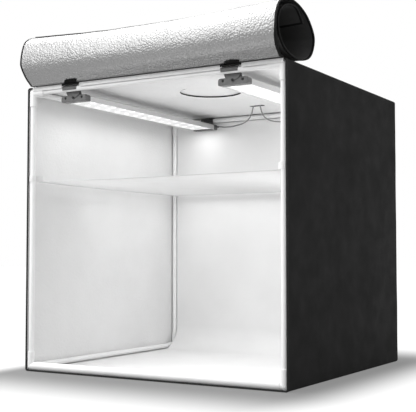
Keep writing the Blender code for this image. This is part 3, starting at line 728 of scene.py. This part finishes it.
def box_panel(side, low, high, radius):
    """Points and outward normals of one side of a box with rounded edges, open at the front."""
    axis, sign = sides[side]
    u, v = in_plane(side)
    us = grid_lines(low[u], high[u], radius, u != 1)
    vs = grid_lines(low[v], high[v], radius, v != 1)
    points = np.zeros((len(vs), len(us), 3))
    points[..., u] = us[None, :]
    points[..., v] = vs[:, None]
    points[..., axis] = high[axis] if sign > 0 else low[axis]
    inner_low = np.array(low) + radius
    inner_high = np.array(high) - radius
    inner_low[1] = low[1] - radius
    nearest = np.clip(points, inner_low, inner_high)
    normals = points - nearest
    normals /= np.linalg.norm(normals, axis=-1, keepdims=True)
    return nearest + radius * normals, normals


def towards_middle(points, side, low, high, border):
    """0 at a panel's borders and 1 a border's width inside them."""
    share = np.ones(points.shape[:-1])
    for axis in in_plane(side):
        inside = np.minimum(points[..., axis] - low[axis], high[axis] - points[..., axis])
        share *= smooth_step(inside / border)
    return share


def dome(points, side, low, high):
    share = np.ones(points.shape[:-1])
    for axis in in_plane(side):
        place = (2 * points[..., axis] - low[axis] - high[axis]) / (high[axis] - low[axis])
        share *= 1 - place**4
    return share


def top_drop(x, y):
    """How far the tent's top hangs down at a place, cloth and lining alike."""
    half = cover_high[0]
    share = (1 - (x / half) ** 2) * (1 - (y / cover_high[1]) ** 2)
    return top_sag * smooth_step(np.maximum(share, 0) * 1.6)


def cover_push(points, side, low, high):
    if side == "bottom":
        return np.zeros(points.shape[:-1])
    if side == "top":
        return -top_drop(points[..., 0], points[..., 1])
    inner = towards_middle(points, side, low, high, cover_border)
    seed = sides[side][0] + 2 * sides[side][1]
    broad = cover_bulge * dome(points, side, low, high) * (0.7 + 0.4 * rough(points, 3.0, 5))
    ripple = cover_ripple * inner * rough(points, 6.0, seed, 2)
    folds = sum(crease_height(points, *crease) for crease in cover_creases)
    return broad + ripple + folds * inner + edge_wave * rough(points, 10.0, 9)


def crease_height(points, start, end, half_width, height):
    """A shallow crease: full height along its line, down to nothing a little to either side of it."""
    start = np.array(start)
    run = np.array(end) - start
    place = points[..., 1:] - start
    along = np.clip(place @ run / (run @ run), 0, 1)
    off = np.linalg.norm(place - along[..., None] * run, axis=-1)
    return height * np.exp(-(off / half_width) ** 2) * smooth_step(4 * along * (1 - along))


def lining_push(points, side, low, high):
    if side == "bottom":
        return np.zeros(points.shape[:-1])
    inner = towards_middle(points, side, low, high, lining_border)
    wave = -lining_wave * inner * (1 + rough(points, 10.0, 3 + sides[side][0], 3))
    if side == "top":
        wave -= top_drop(points[..., 0], points[..., 1])
    return wave


def facing(points, normals):
    """Turns the grid over if its faces would look inwards."""
    a, b, c = points[5, 5], points[5, 6], points[6, 5]
    if np.dot(np.cross(b - a, c - a), normals[5, 5]) < 0:
        return points[:, ::-1]
    return points


def make_panels(name, node, box, radius, push, cloth, material, slot):
    """Five panels of cloth whose edges meet in rounded seams."""
    low, high = box
    for side in sides:
        points, normals = box_panel(side, low, high, radius)
        points = points + normals * push(points, side, low, high)[..., None]
        obj = settle(thicken(sheet_object(f"{name}_{side}", facing(points, normals), material), cloth, -1))
        if side == "top":
            cut_top(obj)
        finish_piece(obj, "tent", slot, node.format(side))


def circle(centre, radius, steps):
    return arc(centre, radius, 0, math.tau * (1 - 1 / steps), steps - 1)


def slot_outline(grow):
    long, wide = slot_size
    outline = rounded_outline(long + 2 * grow, wide + 2 * grow, wide / 2 + grow - gap, 8)
    return [(slot_centre[0] + x, slot_centre[1] + y) for x, y in outline]


def cut_top(obj):
    low = lining_low[2] + (lining_high[2] - lining_low[2]) / 2
    high = cover_high[2] + cutter_overrun
    cut_with(obj, prism(circle(hole_centre, hole_diameter / 2, cut_steps), low, high))
    cut_with(obj, prism(slot_outline(0), low, high))


def make_rims(material):
    """Tape sewn over the cut edges of the round hole and the lead slot."""
    for name, outline in (
        ("hole_rim", [circle(hole_centre, hole_diameter / 2 + grow, cut_steps) for grow in (-rim_proud, rim_tape)]),
        ("slot_rim", [slot_outline(grow) for grow in (-rim_proud, rim_tape)]),
    ):
        rings = []
        for (inner_x, inner_y), (outer_x, outer_y) in zip(*outline):
            drop = float(top_drop(inner_x, inner_y))
            low = lining_high[2] - lining_cloth - rim_proud - drop
            high = cover_high[2] + rim_proud / 2 - drop
            inner = (inner_x, inner_y)
            outer = (outer_x, outer_y)
            rings.append([(*inner, low), (*outer, low), (*outer, high), (*inner, high)])
        obj = swept(name, rings, True, material)
        finish_piece(obj, "tent", "black_tape")


def front_tape_width():
    """Width of the binding's front face, which stops short of the posts."""
    return min(-binding_low[0] - post_x - tube_radius, front_tape_face)


def make_binding(material, thread):
    """Tape folded round the front edges: a front face and a flange over the cover, with its stitching."""
    half = (binding_high - binding_low) / 2
    centre = (binding_high + binding_low) / 2
    front = binding_low[1]
    back = binding_high[1]
    wide = front_tape_width()
    outline = rounded_outline(2 * half[0], 2 * half[2], cover_corner_radius, tape_corner_steps)
    outline = dense_outline(outline, tape_pitch)
    flange = front + tape_flange
    profile = (
        (-wide, front + tape_bevel_back), (-wide + tape_bevel_across, front), (-tape_round, front),
        (0.0, front + tape_round), (0.0, back - tape_step_start), (tape_thickness, back - tape_step_end),
        (tape_thickness, flange), (tape_under, flange), (tape_under, back), (-wide, back),
    )
    rings = []
    for (x, z), (out_x, out_z) in zip(outline, outline_normals(outline)):
        rings.append([(centre[0] + x + out_x * out, y, centre[2] + z + out_z * out) for out, y in profile])
    obj = swept("front_tape", rings, True, material)
    finish_piece(obj, "tent", "black_tape", "front_binding")
    make_stitches("tape_stitches", outline, centre, front, thread)


def dense_outline(outline, pitch):
    """Adds points along an outline's long runs."""
    dense = []
    for start, end in zip(outline, outline[1:] + outline[:1]):
        start = Vector(start)
        end = Vector(end)
        steps = max(1, round((end - start).length / pitch))
        dense += [tuple(start.lerp(end, step / steps)) for step in range(steps)]
    return dense


def outline_normals(outline):
    normals = []
    count = len(outline)
    for index in range(count):
        before = Vector(outline[index - 1])
        after = Vector(outline[(index + 1) % count])
        along = (after - before).normalized()
        normals.append((along.y, -along.x))
    return normals


def make_stitches(name, outline, centre, front, thread):
    """Short thread runs on the tape's flange, along the sides and the top."""
    bm = bmesh.new()
    y = front + stitch_from_edge
    walked = 0.0
    following = stitch_pitch
    for index, start in enumerate(outline):
        end = Vector(outline[(index + 1) % len(outline)])
        start = Vector(start)
        along = end - start
        normal = Vector((along.y, -along.x)).normalized()
        while following < walked + along.length:
            place = start + along.normalized() * (following - walked)
            following += stitch_pitch
            if place.y < -(binding_high[2] - binding_low[2]) / 2 + cover_corner_radius:
                continue
            lift = tape_thickness + stitch_thickness / 4
            spot = Vector((centre[0] + place.x + normal.x * lift, y, centre[2] + place.y + normal.y * lift))
            add_stitch(bm, spot, Vector((along.x, 0, along.y)).normalized())
        walked += along.length
    mesh = mesh_of(bm, name)
    mesh.shade_smooth()
    finish_piece(new_object(name, mesh, thread), "tent", "black_tape")


def add_stitch(bm, place, direction):
    turn = Vector((0, 0, 1)).rotation_difference(direction).to_matrix().to_4x4()
    size = Matrix.Diagonal((stitch_thickness / 2, stitch_thickness / 2, stitch_length / 2, 1))
    bmesh.ops.create_icosphere(bm, subdivisions=1, radius=1, matrix=Matrix.Translation(place) @ turn @ size)


def finish_piece(obj, body, slot, *nodes):
    """Fastens a piece to its body and hides the CAD nodes that it stands for; its slot is not used."""
    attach(obj, body)
    if nodes:
        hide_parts(*nodes)
    return obj


def cloth_piece(name, points, material, cloth, body, slot, *nodes):
    """A sheet through a grid of points, with its thickness."""
    return finish_piece(settle(thicken(sheet_object(name, points, material), cloth)), body, slot, *nodes)


# Inside

def backdrop_path(steps_down, steps_round):
    """The backdrop's line in the plane across the tent: down the back, round, and over the front rail."""
    floor_z = lining_low[2] + lining_cloth + gap + backdrop_cloth / 2
    top_z = rail_rear.z - socket_radius - gap
    lap_radius = socket_radius + gap + backdrop_cloth / 2
    crest_z = rail_bottom.z + lap_radius
    centre = (rail_rear.y - backdrop_sweep, floor_z + backdrop_sweep)
    path = [(rail_rear.y, z) for z in np.linspace(top_z, centre[1], steps_down)[:-1]]
    path += arc(centre, backdrop_sweep, 0, -math.pi / 2, steps_round)
    ramp_start = rail_front.y + backdrop_ramp
    path += [(y, floor_z) for y in np.linspace(centre[0], ramp_start, steps_down)[1:-1]]
    for share in np.linspace(0, 1, 13):
        rise = (crest_z - floor_z) * float(smooth_step(share))
        path.append((ramp_start - backdrop_ramp * share, floor_z + rise))
    lap = arc((rail_front.y, rail_bottom.z), lap_radius, math.pi / 2, math.pi / 2 + backdrop_lap_angle, 6)
    return np.array(path + lap[1:])


def make_backdrop(material):
    path = backdrop_path(24, 24)
    xs = np.linspace(-backdrop_width / 2, backdrop_width / 2, 61)
    points = grid_points(xs[None, :], path[:, :1], path[:, 1:])
    high = smooth_step((points[..., 2] - backdrop_wave_from) / backdrop_wave_over)
    points[..., 1] -= backdrop_wave * high * (1 + rough(points, 5.0, 12))
    obj = cloth_piece("backdrop_sheet", points, material, backdrop_cloth, "tent", "white_sheet", "backdrop")


def make_diffuser(material, webbing):
    """A level sheet with a hem, held at its corners by a strap round each post."""
    low, high = span("diffuser_sheet")
    level = (low[2] + high[2]) / 2
    xs = np.linspace(low[0], high[0], 61)
    ys = np.linspace(low[1], high[1], 57)
    points = grid_points(xs[None, :], ys[:, None], 0.0)
    points[..., 2] = level - diffuser_drop(points, low, high)
    obj = cloth_piece("diffuser_cloth", points, material, diffuser_cloth,
                      "tent", "diffuser_cloth", "diffuser_sheet")
    hem = make_diffuser_hem(material, low, high, level)
    for x_name, side in (("left", -1), ("right", 1)):
        for y_name, end in (("front", -1), ("rear", 1)):
            make_strap(f"{y_name}_{x_name}", side, end, webbing)


def diffuser_drop(points, low, high):
    across = 2 * (points[..., 0] - low[0]) / (high[0] - low[0]) - 1
    along = 2 * (points[..., 1] - low[1]) / (high[1] - low[1]) - 1
    inner = (1 - across**2) * (1 - along**2)
    border = np.maximum(1 - across**2, 1 - along**2) * (1 - inner)
    return diffuser_sag * inner + diffuser_edge_sag * border + diffuser_ripple * rough(points, 12.0, 21) * inner


def make_diffuser_hem(material, low, high, level):
    """A folded border on top of the sheet."""
    outer = dense_outline([(low[0], low[1]), (high[0], low[1]), (high[0], high[1]), (low[0], high[1])], hem_pitch)
    inner_low = np.array(low) + diffuser_hem
    inner_high = np.array(high) - diffuser_hem
    rings = []
    for x, y in outer:
        inner = np.clip((x, y), inner_low[:2], inner_high[:2])
        ring = []
        for (px, py), lift in (((x, y), 0), (inner, 0), (inner, 1), ((x, y), 1)):
            drop = float(diffuser_drop(np.array([px, py, 0.0]), low, high))
            z = level - drop + diffuser_cloth / 2 + gap / 3 + lift * diffuser_hem_cloth
            ring.append((px, py, z))
        rings.append(ring)
    obj = swept("diffuser_hem", rings, True, material)
    return finish_piece(obj, "tent", "diffuser_cloth")


def make_strap(corner, side, end, webbing):
    """Webbing that stands on edge: a loop round the post and a tail over the sheet's corner."""
    node = f"strap_{corner}"
    low, high = span(node)
    post = middle(f"post_{corner}")
    radius = tube_radius + gap + strap_cloth / 2
    inward = math.atan2(-end, -side)
    open_half = (math.tau - strap_wrap_angle) / 2
    loop = arc((post.x, post.y), radius, inward + open_half, inward + open_half + strap_wrap_angle, 28)
    tail = (loop[0][0] + math.cos(inward) * strap_tail, loop[0][1] + math.sin(inward) * strap_tail)
    path = [tuple(p) for p in np.linspace(tail, loop[0], 6)[:-1]] + loop
    xs, ys = np.array(path).T
    points = grid_points(xs[None, :], ys[None, :], np.linspace(low[2], high[2], 5)[:, None])
    cloth_piece(f"webbing_{corner}", points, webbing, strap_cloth, "tent", "white_strap", node)


# Rolled front cover

def roll_section(across):
    """The rolled cloth's (y, z) line at a place along the roll, from -1 at its left end to 1 at its right."""
    swell = 1 + (roll_left_swell_share - 1) * (1 - across) / 2
    sag = roll_sag * (1 - across * across)
    centre_y = binding_low[1] + roll_behind_front
    centre_z = cover_high[2] + gap + roll_cloth + roll_half_height
    seam_y = binding_low[1] + roll_seam_setback
    seam_z = cover_high[2] + roll_seam_lift + gap + roll_cloth / 2
    points = [(seam_y - roll_half_depth * roll_seam_run_share * swell, seam_z)]
    for back, up in roll_route_shares:
        forward_swell = swell if back < 0 else 1
        y = centre_y + roll_half_depth * back * forward_swell
        points.append((y, centre_z + roll_half_height * up - sag * (1 + up) / 2))
    return np.vstack([[(seam_y, seam_z)], smooth_curve(points, roll_steps_per_span)])


def roll_points():
    """The rolled cloth's places, narrower near the seam than at its free front."""
    across = np.linspace(-1, 1, roll_sections + 1)
    sections = np.array([roll_section(place) for place in across])
    points = np.zeros((*sections.shape[:2], 3))
    seam_inset = np.where(across < 0, roll_left_seam_inset, roll_right_seam_inset)
    share = np.maximum(0, 1 - np.arange(sections.shape[1]) / (2 * roll_steps_per_span + 1))
    half = cover_high[0] - roll_end_inset - seam_inset[:, None] * share[None, :]
    points[..., 0] = half * across[:, None]
    points[..., 1:] = sections
    return points


def sheet_normals(points):
    along = np.gradient(points, axis=0)
    across = np.gradient(points, axis=1)
    normals = np.cross(along, across)
    return normals / np.linalg.norm(normals, axis=-1, keepdims=True)


def make_roll(outside, inside, tape, shade_black):
    """The cloth front, rolled up: silver outside, and black inside, lightened there as painted light for its shade,
    with tape on its ends and its free edge.
    """
    points = roll_points()
    normals = sheet_normals(points)
    count = points.shape[1]
    from_seam = smooth_step(np.arange(count)[None, :] / (count * roll_calm_share))
    wave = rough(points, 9.0, 31) + roll_fine_share * rough(points, 28.0, 33)
    points = points + normals * (roll_wave * wave * from_seam)[..., None]
    make_turn_edge(points, normals, tape)
    # Painted shade patches above the front hooks.
    make_pads(points, normals, shade_black)
    obj = thicken(sheet_object("rolled_cloth", points[::-1], outside, inside, inside), roll_cloth, 0, 1, 2)
    settle(obj, roll_sharp_degrees)
    finish_piece(obj, "front_cover", "silver_cloth", "front_cover")
    pieces = [
        roll_edge_tape("roll_tape_left", points[0], points[0] - points[1], tape),
        roll_edge_tape("roll_tape_right", points[-1], points[-1] - points[-2], tape),
        roll_edge_tape("roll_tape_inner", points[:, -1], points[:, -1] - points[:, -2], tape),
    ]


def roll_edge_tape(name, line, outward, tape):
    """Tape folded over one edge of the rolled cloth."""
    outward = np.broadcast_to(outward, line.shape)
    outward = outward / np.linalg.norm(outward, axis=-1, keepdims=True)
    along = np.gradient(line, axis=0)
    face = np.cross(along, outward)
    face /= np.linalg.norm(face, axis=-1, keepdims=True)
    side = roll_cloth / 2 + roll_tape_thickness
    inset = roll_tape_thickness / 2
    rings = []
    for point, out, up in zip(line, outward, face):
        ring = []
        for reach, lift in (
            (-roll_tape_width, side - inset), (-roll_tape_width + inset, side), (0, side),
            (roll_tape_thickness, side - roll_tape_thickness), (roll_tape_thickness, -side + roll_tape_thickness),
            (0, -side), (-roll_tape_width + inset, -side), (-roll_tape_width, -side + inset),
        ):
            ring.append(point + out * reach + up * lift)
        rings.append(ring)
    obj = swept(name, rings, False, tape)
    return finish_piece(obj, "front_cover", "black_tape")


def make_seam_strip(material):
    """The rolled cover's margin, sewn down over the front binding's upper run, beside the lips and the painted
    shade patches above them.
    """
    y = binding_low[1] - gap - seam_strip_cloth / 2
    low = binding_high[2] - front_tape_width() - seam_strip_low_lap
    high = binding_high[2] - seam_strip_below_top
    lips = [span(f"{side}_hook_front") for side in bar_names]
    shade_patch_end = shade_patch_shift + shade_patch_width / 2 + shade_patch_lean_share * seam_strip_low_lap + 4 * gap
    starts = [binding_low[0] + seam_strip_left_inset]
    starts += [(lip_low[0] + lip_high[0]) / 2 + shade_patch_end for lip_low, lip_high in lips]
    ends = [lip_low[0] - 2 * gap for lip_low, lip_high in lips] + [binding_high[0] - seam_strip_right_inset]
    for name, first, last in zip(("left", "middle", "right"), starts, ends):
        xs = np.linspace(first, last, 60)
        points = grid_points(xs[None, :], y, np.linspace(low, high, 5)[:, None])
        cloth_piece(f"seam_strip_{name}", points, material, seam_strip_cloth, "tent", "white_strap")


def make_turn_edge(points, normals, material):
    """A low ridge of dark tape along the crest, highest at the roll's left end: painted shade for the line where
    the roll turns away.
    """
    column = round(crest_shade_column_share * points.shape[1])
    line = points[:, column]
    along = np.gradient(points, axis=1)[:, column]
    along /= np.linalg.norm(along, axis=-1, keepdims=True)
    rings = []
    for point, normal, tangent, across in zip(line, normals[:, column], along, np.linspace(-1, 1, len(line))):
        most = crest_shade_left_height if across < 0 else crest_shade_right_height
        height = crest_shade_middle_height + (most - crest_shade_middle_height) * smooth_step(abs(across))
        top = roll_cloth / 2 + height
        half = crest_shade_width / 2
        ring = [(-half, 0), (-half / 2, top), (half / 2, top), (half, 0)]
        rings.append([point + tangent * side + normal * lift for side, lift in ring])
    obj = swept("roll_crest_shade_ridge", rings, False, material)
    finish_piece(obj, "front_cover", "black_cloth")


def make_pads(points, normals, shade_black):
    """A black patch on the roll above each front hook, painted shade for the gap where the hook passes under the
    cloth, with a ragged upper edge for the shade's soft fade.
    """
    lift = roll_cloth / 2 + gap + shade_patch_thickness / 2
    for side in bar_names:
        hook = middle(f"{side}_hook_front")
        place = np.interp(hook.x, points[:, -1, 0], np.arange(len(points)))
        section = points[round(place)] + lift * normals[round(place)]
        reach = np.concatenate([[0], np.cumsum(np.linalg.norm(np.diff(section, axis=0), axis=1))])
        patch = np.zeros((shade_patch_rows, shade_patch_columns, 3))
        for column, across in enumerate(np.linspace(-1, 1, shade_patch_columns)):
            edge_noise = 0.5 + 0.5 * float(rough(np.array([[across * shade_patch_edge_scale, hook.x, 0]]), 1.0, 61)[0])
            length = shade_patch_length * (1 - shade_patch_round_share * across**4) + (column % 2) * shade_patch_ragged * edge_noise
            walked = np.linspace(0, length, shade_patch_rows)
            patch[:, column, 0] = hook.x + shade_patch_shift + across * shade_patch_width / 2 + shade_patch_lean_share * walked
            for axis in (1, 2):
                patch[:, column, axis] = np.interp(shade_patch_from_seam + walked, reach, section[:, axis])
        cloth_piece(f"{side}_painted_shade_patch", patch, shade_black, shade_patch_thickness, "front_cover", "black_cloth")


def make_flap(outside, inside, thread):
    """A square flap with a hem, black outside and silver inside, that follows the top's sag."""
    low, high = span("top_flap")
    centre = (low + high) / 2
    outline = rounded_outline(flap_size, flap_size, flap_corner, 6)
    outline = dense_outline(outline, hem_pitch)
    hem_share = 1 - 2 * flap_hem / flap_size
    bm = bmesh.new()
    rings = []
    for share in (1, hem_share, hem_share - flap_step_share, *flap_inner_shares):
        dip = flap_dip if share < hem_share else 0
        ring = []
        for x, y in outline:
            place_x = centre[0] + x * share
            place_y = centre[1] + y * share
            z = high[2] - float(top_drop(place_x, place_y)) - dip
            ring.append(bm.verts.new((place_x, place_y, z)))
        rings.append(ring)
    for outer, inner in zip(rings, rings[1:]):
        for a, b, c, d in zip(outer, outer[1:] + outer[:1], inner[1:] + inner[:1], inner):
            bm.faces.new((a, b, c, d))
    bm.faces.new(rings[-1])
    mesh = mesh_of(bm, "flap_cloth", True)
    obj = new_object("flap_cloth", mesh, outside, inside, outside)
    if mesh.polygons[0].normal.z < 0:
        mesh.flip_normals()
    settle(thicken(obj, flap_cloth - flap_clearance, -1, 1, 2))
    finish_piece(obj, "top_flap", "black_cloth", "top_flap")


# Bars

def screw_head():
    """A pan head with a cross recess; its face looks along -Y and its underside is at Y 0."""
    radius = cap_screw_head / 2
    bm = bmesh.new()
    top = -cap_screw_height
    profile = ((0, top), (radius * cap_screw_flat_share, top), (radius, top / 2), (radius, 0), (0, 0))
    ring = [bm.verts.new((r, y, 0)) for r, y in profile]
    edges = [bm.edges.new(pair) for pair in zip(ring, ring[1:])]
    bmesh.ops.spin(bm, geom=ring + edges, cent=(0, 0, 0), axis=(0, 1, 0), angle=math.tau, steps=20, use_merge=True)
    bmesh.ops.remove_doubles(bm, verts=bm.verts, dist=weld_distance)
    head = new_object("screw_head", mesh_of(bm, "screw_head", True))
    long = cap_screw_head * cap_screw_cross_share
    for wide, tall in ((long, cap_screw_slot), (cap_screw_slot, long)):
        cutter = bmesh.new()
        size = Matrix.Diagonal((wide, 2 * cap_screw_depth, tall, 1))
        bmesh.ops.create_cube(cutter, size=1, matrix=Matrix.Translation((0, -cap_screw_height, 0)) @ size)
        cut_with(head, mesh_of(cutter, "cross"))
    mesh = head.data
    bpy.data.objects.remove(head, do_unlink=True)
    return mesh


def make_cap_screws(material):
    head = screw_head()
    head.materials.append(material)
    for side in bar_names:
        for end, cap in (("front", -1), ("rear", 1)):
            low, high = span(f"{side}_cap_{end}")
            seat = low[1] + cap_screw_sunk if cap < 0 else high[1] - cap_screw_sunk
            for name, shift in (("a", -cap_screw_pitch), ("b", cap_screw_pitch)):
                obj = new_object(f"{side}_cap_screw_{end}_{name}", head)
                obj.location = (pivots[side].x + shift, seat, pivots[side].z)
                obj.rotation_euler = (0, cap_screw_turn * shift / cap_screw_pitch, 0 if cap < 0 else math.pi)
                finish_piece(obj, f"{side}_bar", "black_steel")


def make_leads(jacket):
    """Each lead in three stretches: by the gland, on to the slot, and on the top up to its socket."""
    for side in bar_names:
        fine = smooth_curve(lead_routes[side], lead_steps)
        turn = (lead_bar_points - 1) * lead_steps
        slot = lead_slot_points[side] * lead_steps
        bar, hooks = f"{side}_bar", f"{side}_hooks"
        socket = bpy.data.objects[f"{side}_lead_socket"]
        for part, path, bodies, stretch, far_end, carried in (
            ("by_bar", fine[:turn + 1], (bar, hooks), "inside", "object", []),
            ("to_slot", fine[turn:slot + 1], (hooks, "tent"), "inside", "object", []),
            ("on_top", fine[slot:], ("tent",), "outside", "connector", [socket]),
        ):
            rings = tube_rings(path, lead_diameter / 2, lead_sides)
            piece = swept(f"{side}_lead_{part}", rings, False, jacket)
            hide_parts(f"{side}_lead_{stretch}")
            if len(bodies) == 2:
                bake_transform(piece)
            else:
                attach(piece, *bodies)


def dress_nodes(material, names):
    """Gives CAD nodes their finish."""
    for name in names:
        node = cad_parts[name]
        node.data.materials.clear()
        node.data.materials.append(material)


def dress_bars():
    plastic = make_material("cap_plastic")
    hook_plastic = make_material("hook_plastic")
    metal = make_material("brushed_aluminium")
    steel = make_material("dark_steel")
    for side in bar_names:
        low, high = span(f"{side}_led_board")
        count = round((high[1] - low[1]) / chip_pitch) - 1
        first_chip = (low[1] + high[1] - chip_pitch * (count - 0.5)) / 2
        board = lit_board((low[0] + high[0]) / 2, first_chip)
        dress_nodes(hook_plastic, [f"{side}_{part}" for part in ("hook_front", "hook_rear")])
        dress_nodes(plastic, [f"{side}_{part}" for part in ("cap_front", "cap_rear", "gland")])
        dress_nodes(metal, [f"{side}_housing"])
        dress_nodes(board, [f"{side}_led_board"])
        dress_nodes(steel, [f"{side}_pivot_front", f"{side}_pivot_rear"])
    make_cap_screws(steel)


def dress_frame():
    posts = [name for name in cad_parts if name.startswith("post_") or "_rail_" in name]
    corners = [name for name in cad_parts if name.startswith("corner_")]
    dress_nodes(make_material("powder_coat"), posts)
    dress_nodes(make_material("moulded_white"), corners)


# Light, floor and camera

def add_lamp(name, lamp):
    size, place, target, power = lamp
    light = bpy.data.lights.new(name, "AREA")
    light.shape = "RECTANGLE"
    light.size, light.size_y = size
    light.energy = power
    obj = new_object(name, light)
    aim(obj, place, Vector(target) - Vector(place))
    return obj


def add_level_lamp(name, size, place, power, body, faces_up=False):
    """A lamp that lies level, is not seen itself, and travels with its body."""
    lamp = add_lamp(name, (size, place, (place[0], place[1], 0), power))
    lamp.rotation_mode = "XYZ"
    lamp.rotation_euler = (math.pi if faces_up else 0, 0, 0)
    lamp.visible_camera = False
    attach(lamp, body)


def add_tent_lamps():
    """The light of the two boards, and the light that the cloth scatters above and below the diffuser."""
    for side in bar_names:
        low, high = span(f"{side}_led_board")
        place = ((low[0] + high[0]) / 2, (low[1] + high[1]) / 2, low[2] - bar_lamp_drop)
        size = (high[0] - low[0], high[1] - low[1])
        add_level_lamp(f"{side}_bar_light", size, place, bar_lamp_power, f"{side}_bar")
    low, high = span("diffuser_sheet")
    above = (upper_fill_right, 0, high[2] + fill_from_diffuser)
    add_level_lamp("upper_fill", upper_fill_size, above, upper_fill_power, "tent", True)
    lamp = add_lamp("wall_fill", (
        wall_fill_size, (lining_high[0] - wall_fill_from_wall, 0, (high[2] + lining_high[2]) / 2),
        (0, 0, lining_high[2]), wall_fill_power,
    ))
    lamp.visible_camera = False
    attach(lamp, "tent")
    under = low[2] - diffuser_sag - fill_from_diffuser
    add_level_lamp("lower_fill", lower_fill_size, (0, lower_fill_back, under), lower_fill_power, "tent")


def seen_share(owner):
    """1 for what the camera sees, directly, in a shiny surface or through a clear one, and 0 for other light."""
    path = add_node(owner, "ShaderNodeLightPath")
    seen = path.outputs["Is Camera Ray"]
    for other in ("Is Glossy Ray", "Is Transmission Ray"):
        seen = calculated(owner, "MAXIMUM", seen, path.outputs[other])
    return seen


def between(owner, share, low, high, start=0.0, end=1.0):
    """A value that goes smoothly from low to high as a share goes from its start to its end."""
    return mapped(owner, share, low, high, start, end, "SMOOTHSTEP")


def add_world():
    world = bpy.data.worlds.new("studio")
    bpy.context.scene.world = world
    world.use_nodes = True
    background = world.node_tree.nodes["Background"]
    background.inputs["Color"].default_value = (1, 1, 1, 1)
    link(world, between(world, seen_share(world), world_light, 1.0), background.inputs["Strength"])


def off_tent(material):
    """How far a place on the floor lies outside the tent's outline, with its left and right sides weighted, which
    sets the painted shadow.
    """
    half_x, half_y = ((cover_high - cover_low) / 2)[:2]
    place = axes_in(material)
    find = partial(calculated, material)
    right = find("MULTIPLY", find("SUBTRACT", place["X"], half_x), painted_shadow_right_fade)
    left = find("MULTIPLY", find("SUBTRACT", -half_x, place["X"]), painted_shadow_left_fade)
    across = find("MAXIMUM", find("MAXIMUM", left, right), 0.0)
    along = find("MAXIMUM", find("SUBTRACT", find("ABSOLUTE", place["Y"], 0.0), half_y), 0.0)
    return find("SQRT", find("ADD", find("MULTIPLY", across, across), find("MULTIPLY", along, along)), 0.0)


def add_floor():
    """A wide pale floor that keeps a faint real shadow and a painted soft shadow round the tent, where its glow is
    dimmer, and runs into the white background.
    """
    bm = bmesh.new()
    bmesh.ops.create_grid(bm, x_segments=4, y_segments=4, size=floor_half_size)
    material = new_material("floor", grey(225), 1.0)
    shader = shader_of(material)
    shader.inputs["Specular IOR Level"].default_value = 0.0
    shader.inputs["Emission Color"].default_value = (1, 1, 1, 1)
    seen = seen_share(material)
    link(material, between(material, seen, floor_as_light, floor_seen), shader.inputs["Base Color"])
    # Painted shadow: the glow that the camera sees is dimmer near the tent.
    glow = between(material, off_tent(material), floor_glow_in_painted_shadow, floor_far_glow, painted_shadow_from, painted_shadow_to)
    link(material, calculated(material, "MULTIPLY", glow, seen), shader.inputs["Emission Strength"])
    floor = new_object("floor", mesh_of(bm, "floor"), material)
    floor.location = (0, 0, -floor_drop)


def add_camera():
    camera = bpy.data.cameras.new("camera")
    camera.sensor_width = sensor_width
    camera.lens = sensor_width * focal_length_pixels / image_width
    camera.clip_start = clip_from
    camera.clip_end = clip_to
    obj = new_object("camera", camera)
    level = math.cos(camera_pitch)
    forward = Vector((-math.sin(camera_yaw) * level, math.cos(camera_yaw) * level, math.sin(camera_pitch)))
    aim(obj, camera_place, forward)
    bpy.context.scene.camera = obj


def make_scene():
    add_camera()
    make_leads(make_material("lead_jacket"))
    dress_frame()
    dress_bars()
    dress_nodes(make_material("black_plastic"), [f"{side}_lead_socket" for side in bar_names])
    oxford = make_material("black_oxford")
    tape = make_material("black_tape")
    silver = make_material("silver_lining")
    make_panels("cover_cloth", "cover_{}", (cover_low, cover_high), cover_corner_radius, cover_push,
                cover_cloth, oxford, "black_cloth")
    make_panels("lining", "lining", (lining_low, lining_high), cover_corner_radius - cover_cloth, lining_push,
                lining_cloth, silver, "silver_cloth")
    make_binding(tape, make_material("black_tape"))
    make_rims(tape)
    make_backdrop(make_material("white_sheet"))
    webbing = make_material("white_webbing")
    make_diffuser(diffuser_cloth_material(), webbing)
    make_roll(*[make_material(name) for name in ("silver_roll", "roll_inside_painted_light", "edge_tape", "painted_shade_black")])
    make_seam_strip(webbing)
    make_flap(oxford, silver, tape)
    add_lamp("overhead_light", overhead_lamp)
    add_lamp("side_light", side_lamp)
    add_lamp("front_light", front_lamp)
    add_lamp("low_light", low_lamp).visible_camera = False
    add_tent_lamps()
    add_world()
    add_floor()
    bpy.context.scene.view_settings.view_transform = "Standard"


make_scene()
